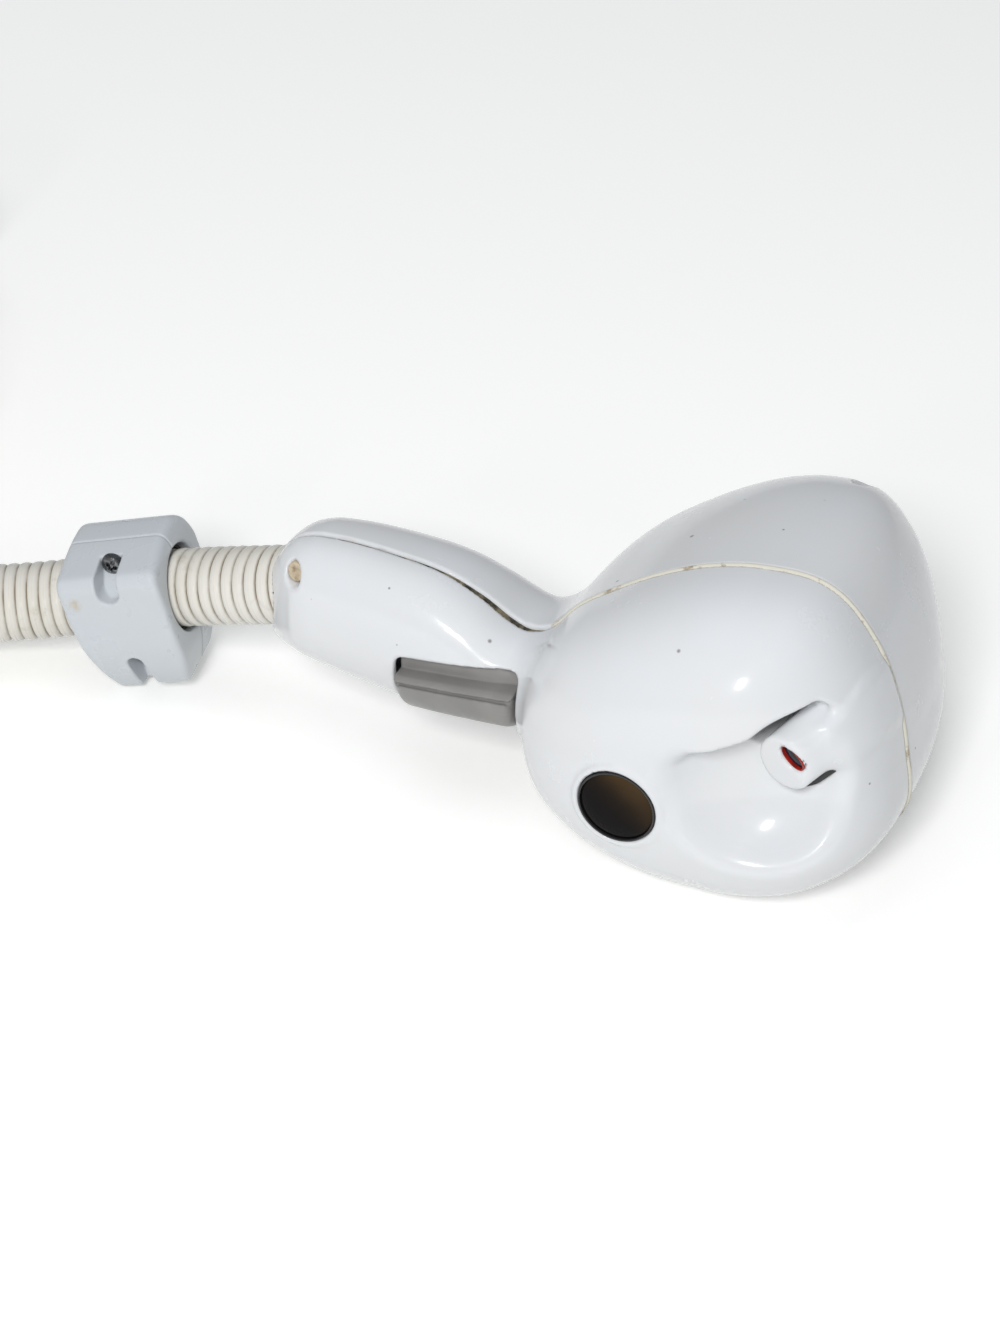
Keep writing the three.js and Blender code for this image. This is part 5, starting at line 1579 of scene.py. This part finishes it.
# %% The connector's forms
END = np.array(TAIL[-1], float)
PLUG_AXIS = (1.0, 0.0, 0.0)
SLEEVE = {"from": -26, "to": -2, "r": 14.9, "taper": 1.7, "rings": (-24, -5), "pitch": 3.4, "deep": 0.55}
RING = {
    "r": 18.2, "bore": 14.5, "from": 26.1, "to": 43.0, "rear_bevel": 8.9, "front_bevel": 60.4,
    "flutes": 30, "flute_deep": 0.45, "flute_at": 34.6, "flute_half": 7.2,
}
INSERT = {
    "r": 12.4, "back": 34.1, "face": 42, "holes_on": 7, "hole": 1.15, "hole_back": 36.0,
    "key_half": 1.2, "key_from": 9.8,
}


def sleeve_profile():
    """Radius and height pairs of the tapered sleeve, with its grip rings."""
    outside = []
    for h in np.linspace(SLEEVE["from"], SLEEVE["to"], 61):
        on = h - SLEEVE["from"]
        r = SLEEVE["r"] + on / (SLEEVE["to"] - SLEEVE["from"]) * SLEEVE["taper"]
        wave = max(0.0, math.cos(on / SLEEVE["pitch"] * 2 * math.pi))
        grooved = SLEEVE["rings"][0] < h < SLEEVE["rings"][1]
        outside.append((r - SLEEVE["deep"] * wave if grooved else r, h))
    return [(13.5, -26), *outside, (17.1, 0.5), (17.1, 5.6), (16.7, 6), (14.2, 6), (14.2, 1.2), (13.5, 1.2)]


def knurled_ring(p):
    """The coupling ring by its field: a bevelled ring with round flutes cut in its face."""
    along, y, z = np.moveaxis(p - END, -1, 0)
    out = np.hypot(y, z)
    crown = smax(out - RING["r"], (out + along) - RING["front_bevel"], 0.6)
    crown = smax(crown, (out - along) + RING["rear_bevel"], 0.6)
    fade = smoothstep((RING["flute_half"] - np.abs(along - RING["flute_at"])) / 1.2)
    flutes = RING["flute_deep"] * (1 + np.cos(np.arctan2(z, y) * RING["flutes"])) * fade
    band = np.maximum(RING["from"] - along, along - RING["to"])
    return smax(np.maximum(crown + flutes, RING["bore"] - out), band, 0.4)


def contact_insert(p):
    """A disc with six contact holes and a keyway."""
    along, y, z = np.moveaxis(p - END, -1, 0)
    out = np.hypot(y, z)
    form = smax(out - INSERT["r"], np.maximum(INSERT["back"] - along, along - INSERT["face"]), 0.5)
    sixth = np.round(np.arctan2(z, y) / (math.pi / 3)) * math.pi / 3
    off_y, off_z = y - INSERT["holes_on"] * np.cos(sixth), z - INSERT["holes_on"] * np.sin(sixth)
    hole = np.hypot(off_y, off_z) - INSERT["hole"]
    key = np.maximum(np.abs(y) - INSERT["key_half"], INSERT["key_from"] - z)
    return smax(form, -np.maximum(np.minimum(hole, key), INSERT["hole_back"] - along), 0.3)


# %% The connector's finishes
def satin_metal(name, bright, dark, roughness):
    finish = Finish(name, bright, roughness, metallic=1.0)
    worn = finish.noise(4.0, detail=5.0).between(0.42, 0.68)
    finish.feed("Base Color", finish.mix(worn, bright, dark))
    finish.feed("Roughness", worn * 0.18 + roughness)
    return finish


def rubber(name):
    finish = Finish(name, (0.030, 0.030, 0.031), 0.62)
    dust = finish.noise(8.0, detail=5.0).between(0.45, 0.72)
    finish.feed("Base Color", finish.mix(dust, (0.026, 0.026, 0.027), (0.075, 0.072, 0.066)))
    finish.feed("Normal", finish.bump(finish.noise(0.7, detail=3.0), 0.04, 0.4))
    return finish


soft_black = rubber("soft_black_rubber")
alloy = satin_metal("satin_alloy", (0.60, 0.61, 0.62), (0.36, 0.36, 0.37), 0.32)

# %% Lay the connector's pieces
body_profile = [
    (9.6, 1.15), (13.5, 1.15), (13.5, 6.1), (16.2, 6.1), (16.6, 6.5), (16.6, 15.6), (15.9, 16.2),
    (15.9, 17.4), (16.6, 18.0), (16.6, 25.6), (16.2, 26), (14.3, 26), (14.3, 51.4), (13.7, 52),
    (12.9, 52), (12.5, 51.6), (12.5, 34), (9.6, 34),
]
RING_BOX = (END + (25, -19, -19), END + (44, 19, 19))
INSERT_BOX = (END + (33, -13, -13), END + (43, 13, 13))
sleeve = piece("connector_sleeve", *turned(sleeve_profile(), END, PLUG_AXIS, 64), [soft_black])
fixed(sleeve, "liner_rubber", "plug_sleeve")
barrel = piece("connector_body", *turned(body_profile, END, PLUG_AXIS, 96), [alloy])
fixed(barrel, "alloy", "plug_body")
ring_piece = piece("connector_ring", *skin(knurled_ring, *RING_BOX, STEP["ring"]), [steel])
fixed(ring_piece, "steel", "coupling_ring", body_name="coupling")
insert = piece("connector_insert", *skin(contact_insert, *INSERT_BOX, STEP["insert"]), [black])
fixed(insert, "black_plastic", "contact_insert")

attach(hose, "handpiece")
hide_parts("hose_lead", "hose_coil", "hose_tail")
[float(v) for v in in_row(hose_line[0])]
[[float(v) for v in p] for p in in_row(hose_line)]

# %% [markdown]
# ## The pieces inside
#
# The optics, the boards, the switch and the brackets keep the shapes of the CAD model:
# they are seen only when the shells are taken apart. Each still gets a finish of its own,
# by the material slot that its record names.

# %% Finishes for the pieces that stay
def board_green():
    finish = Finish("board_green", (0.020, 0.110, 0.045), 0.35, coat_weight=0.4)
    tracks = finish.noise(1.6, detail=2.0).between(0.48, 0.54)
    finish.feed("Base Color", finish.mix(tracks, (0.016, 0.090, 0.038), (0.030, 0.150, 0.060)))
    return finish


brass = satin_metal("brass", (0.55, 0.38, 0.13), (0.30, 0.19, 0.07), 0.30)
inside = {
    "alloy": alloy, "steel": steel, "black_plastic": black, "cream_plastic": cream,
    "liner_rubber": soft_black, "brass": brass, "board_green": board_green(), "dark_glass": lens_finish,
    "bezel_red": red, "shell_white": white, "collar_white": pale_blue,
    "hose_cream": hose.data.materials[0], "trigger_grey": grey, "seam_cream": cream,
}
kept = 0
for row in frame["record"]["subparts"]:
    stays = frame["nodes"][row["node"]]
    finish = inside[row["material_slot"]]
    material = finish.material if isinstance(finish, Finish) else finish
    if stays.data.materials:
        for k in range(len(stays.data.materials)):
            stays.data.materials[k] = material
    else:
        stays.data.materials.append(material)
    kept += 1
print(f"{kept} CAD pieces have their finishes")
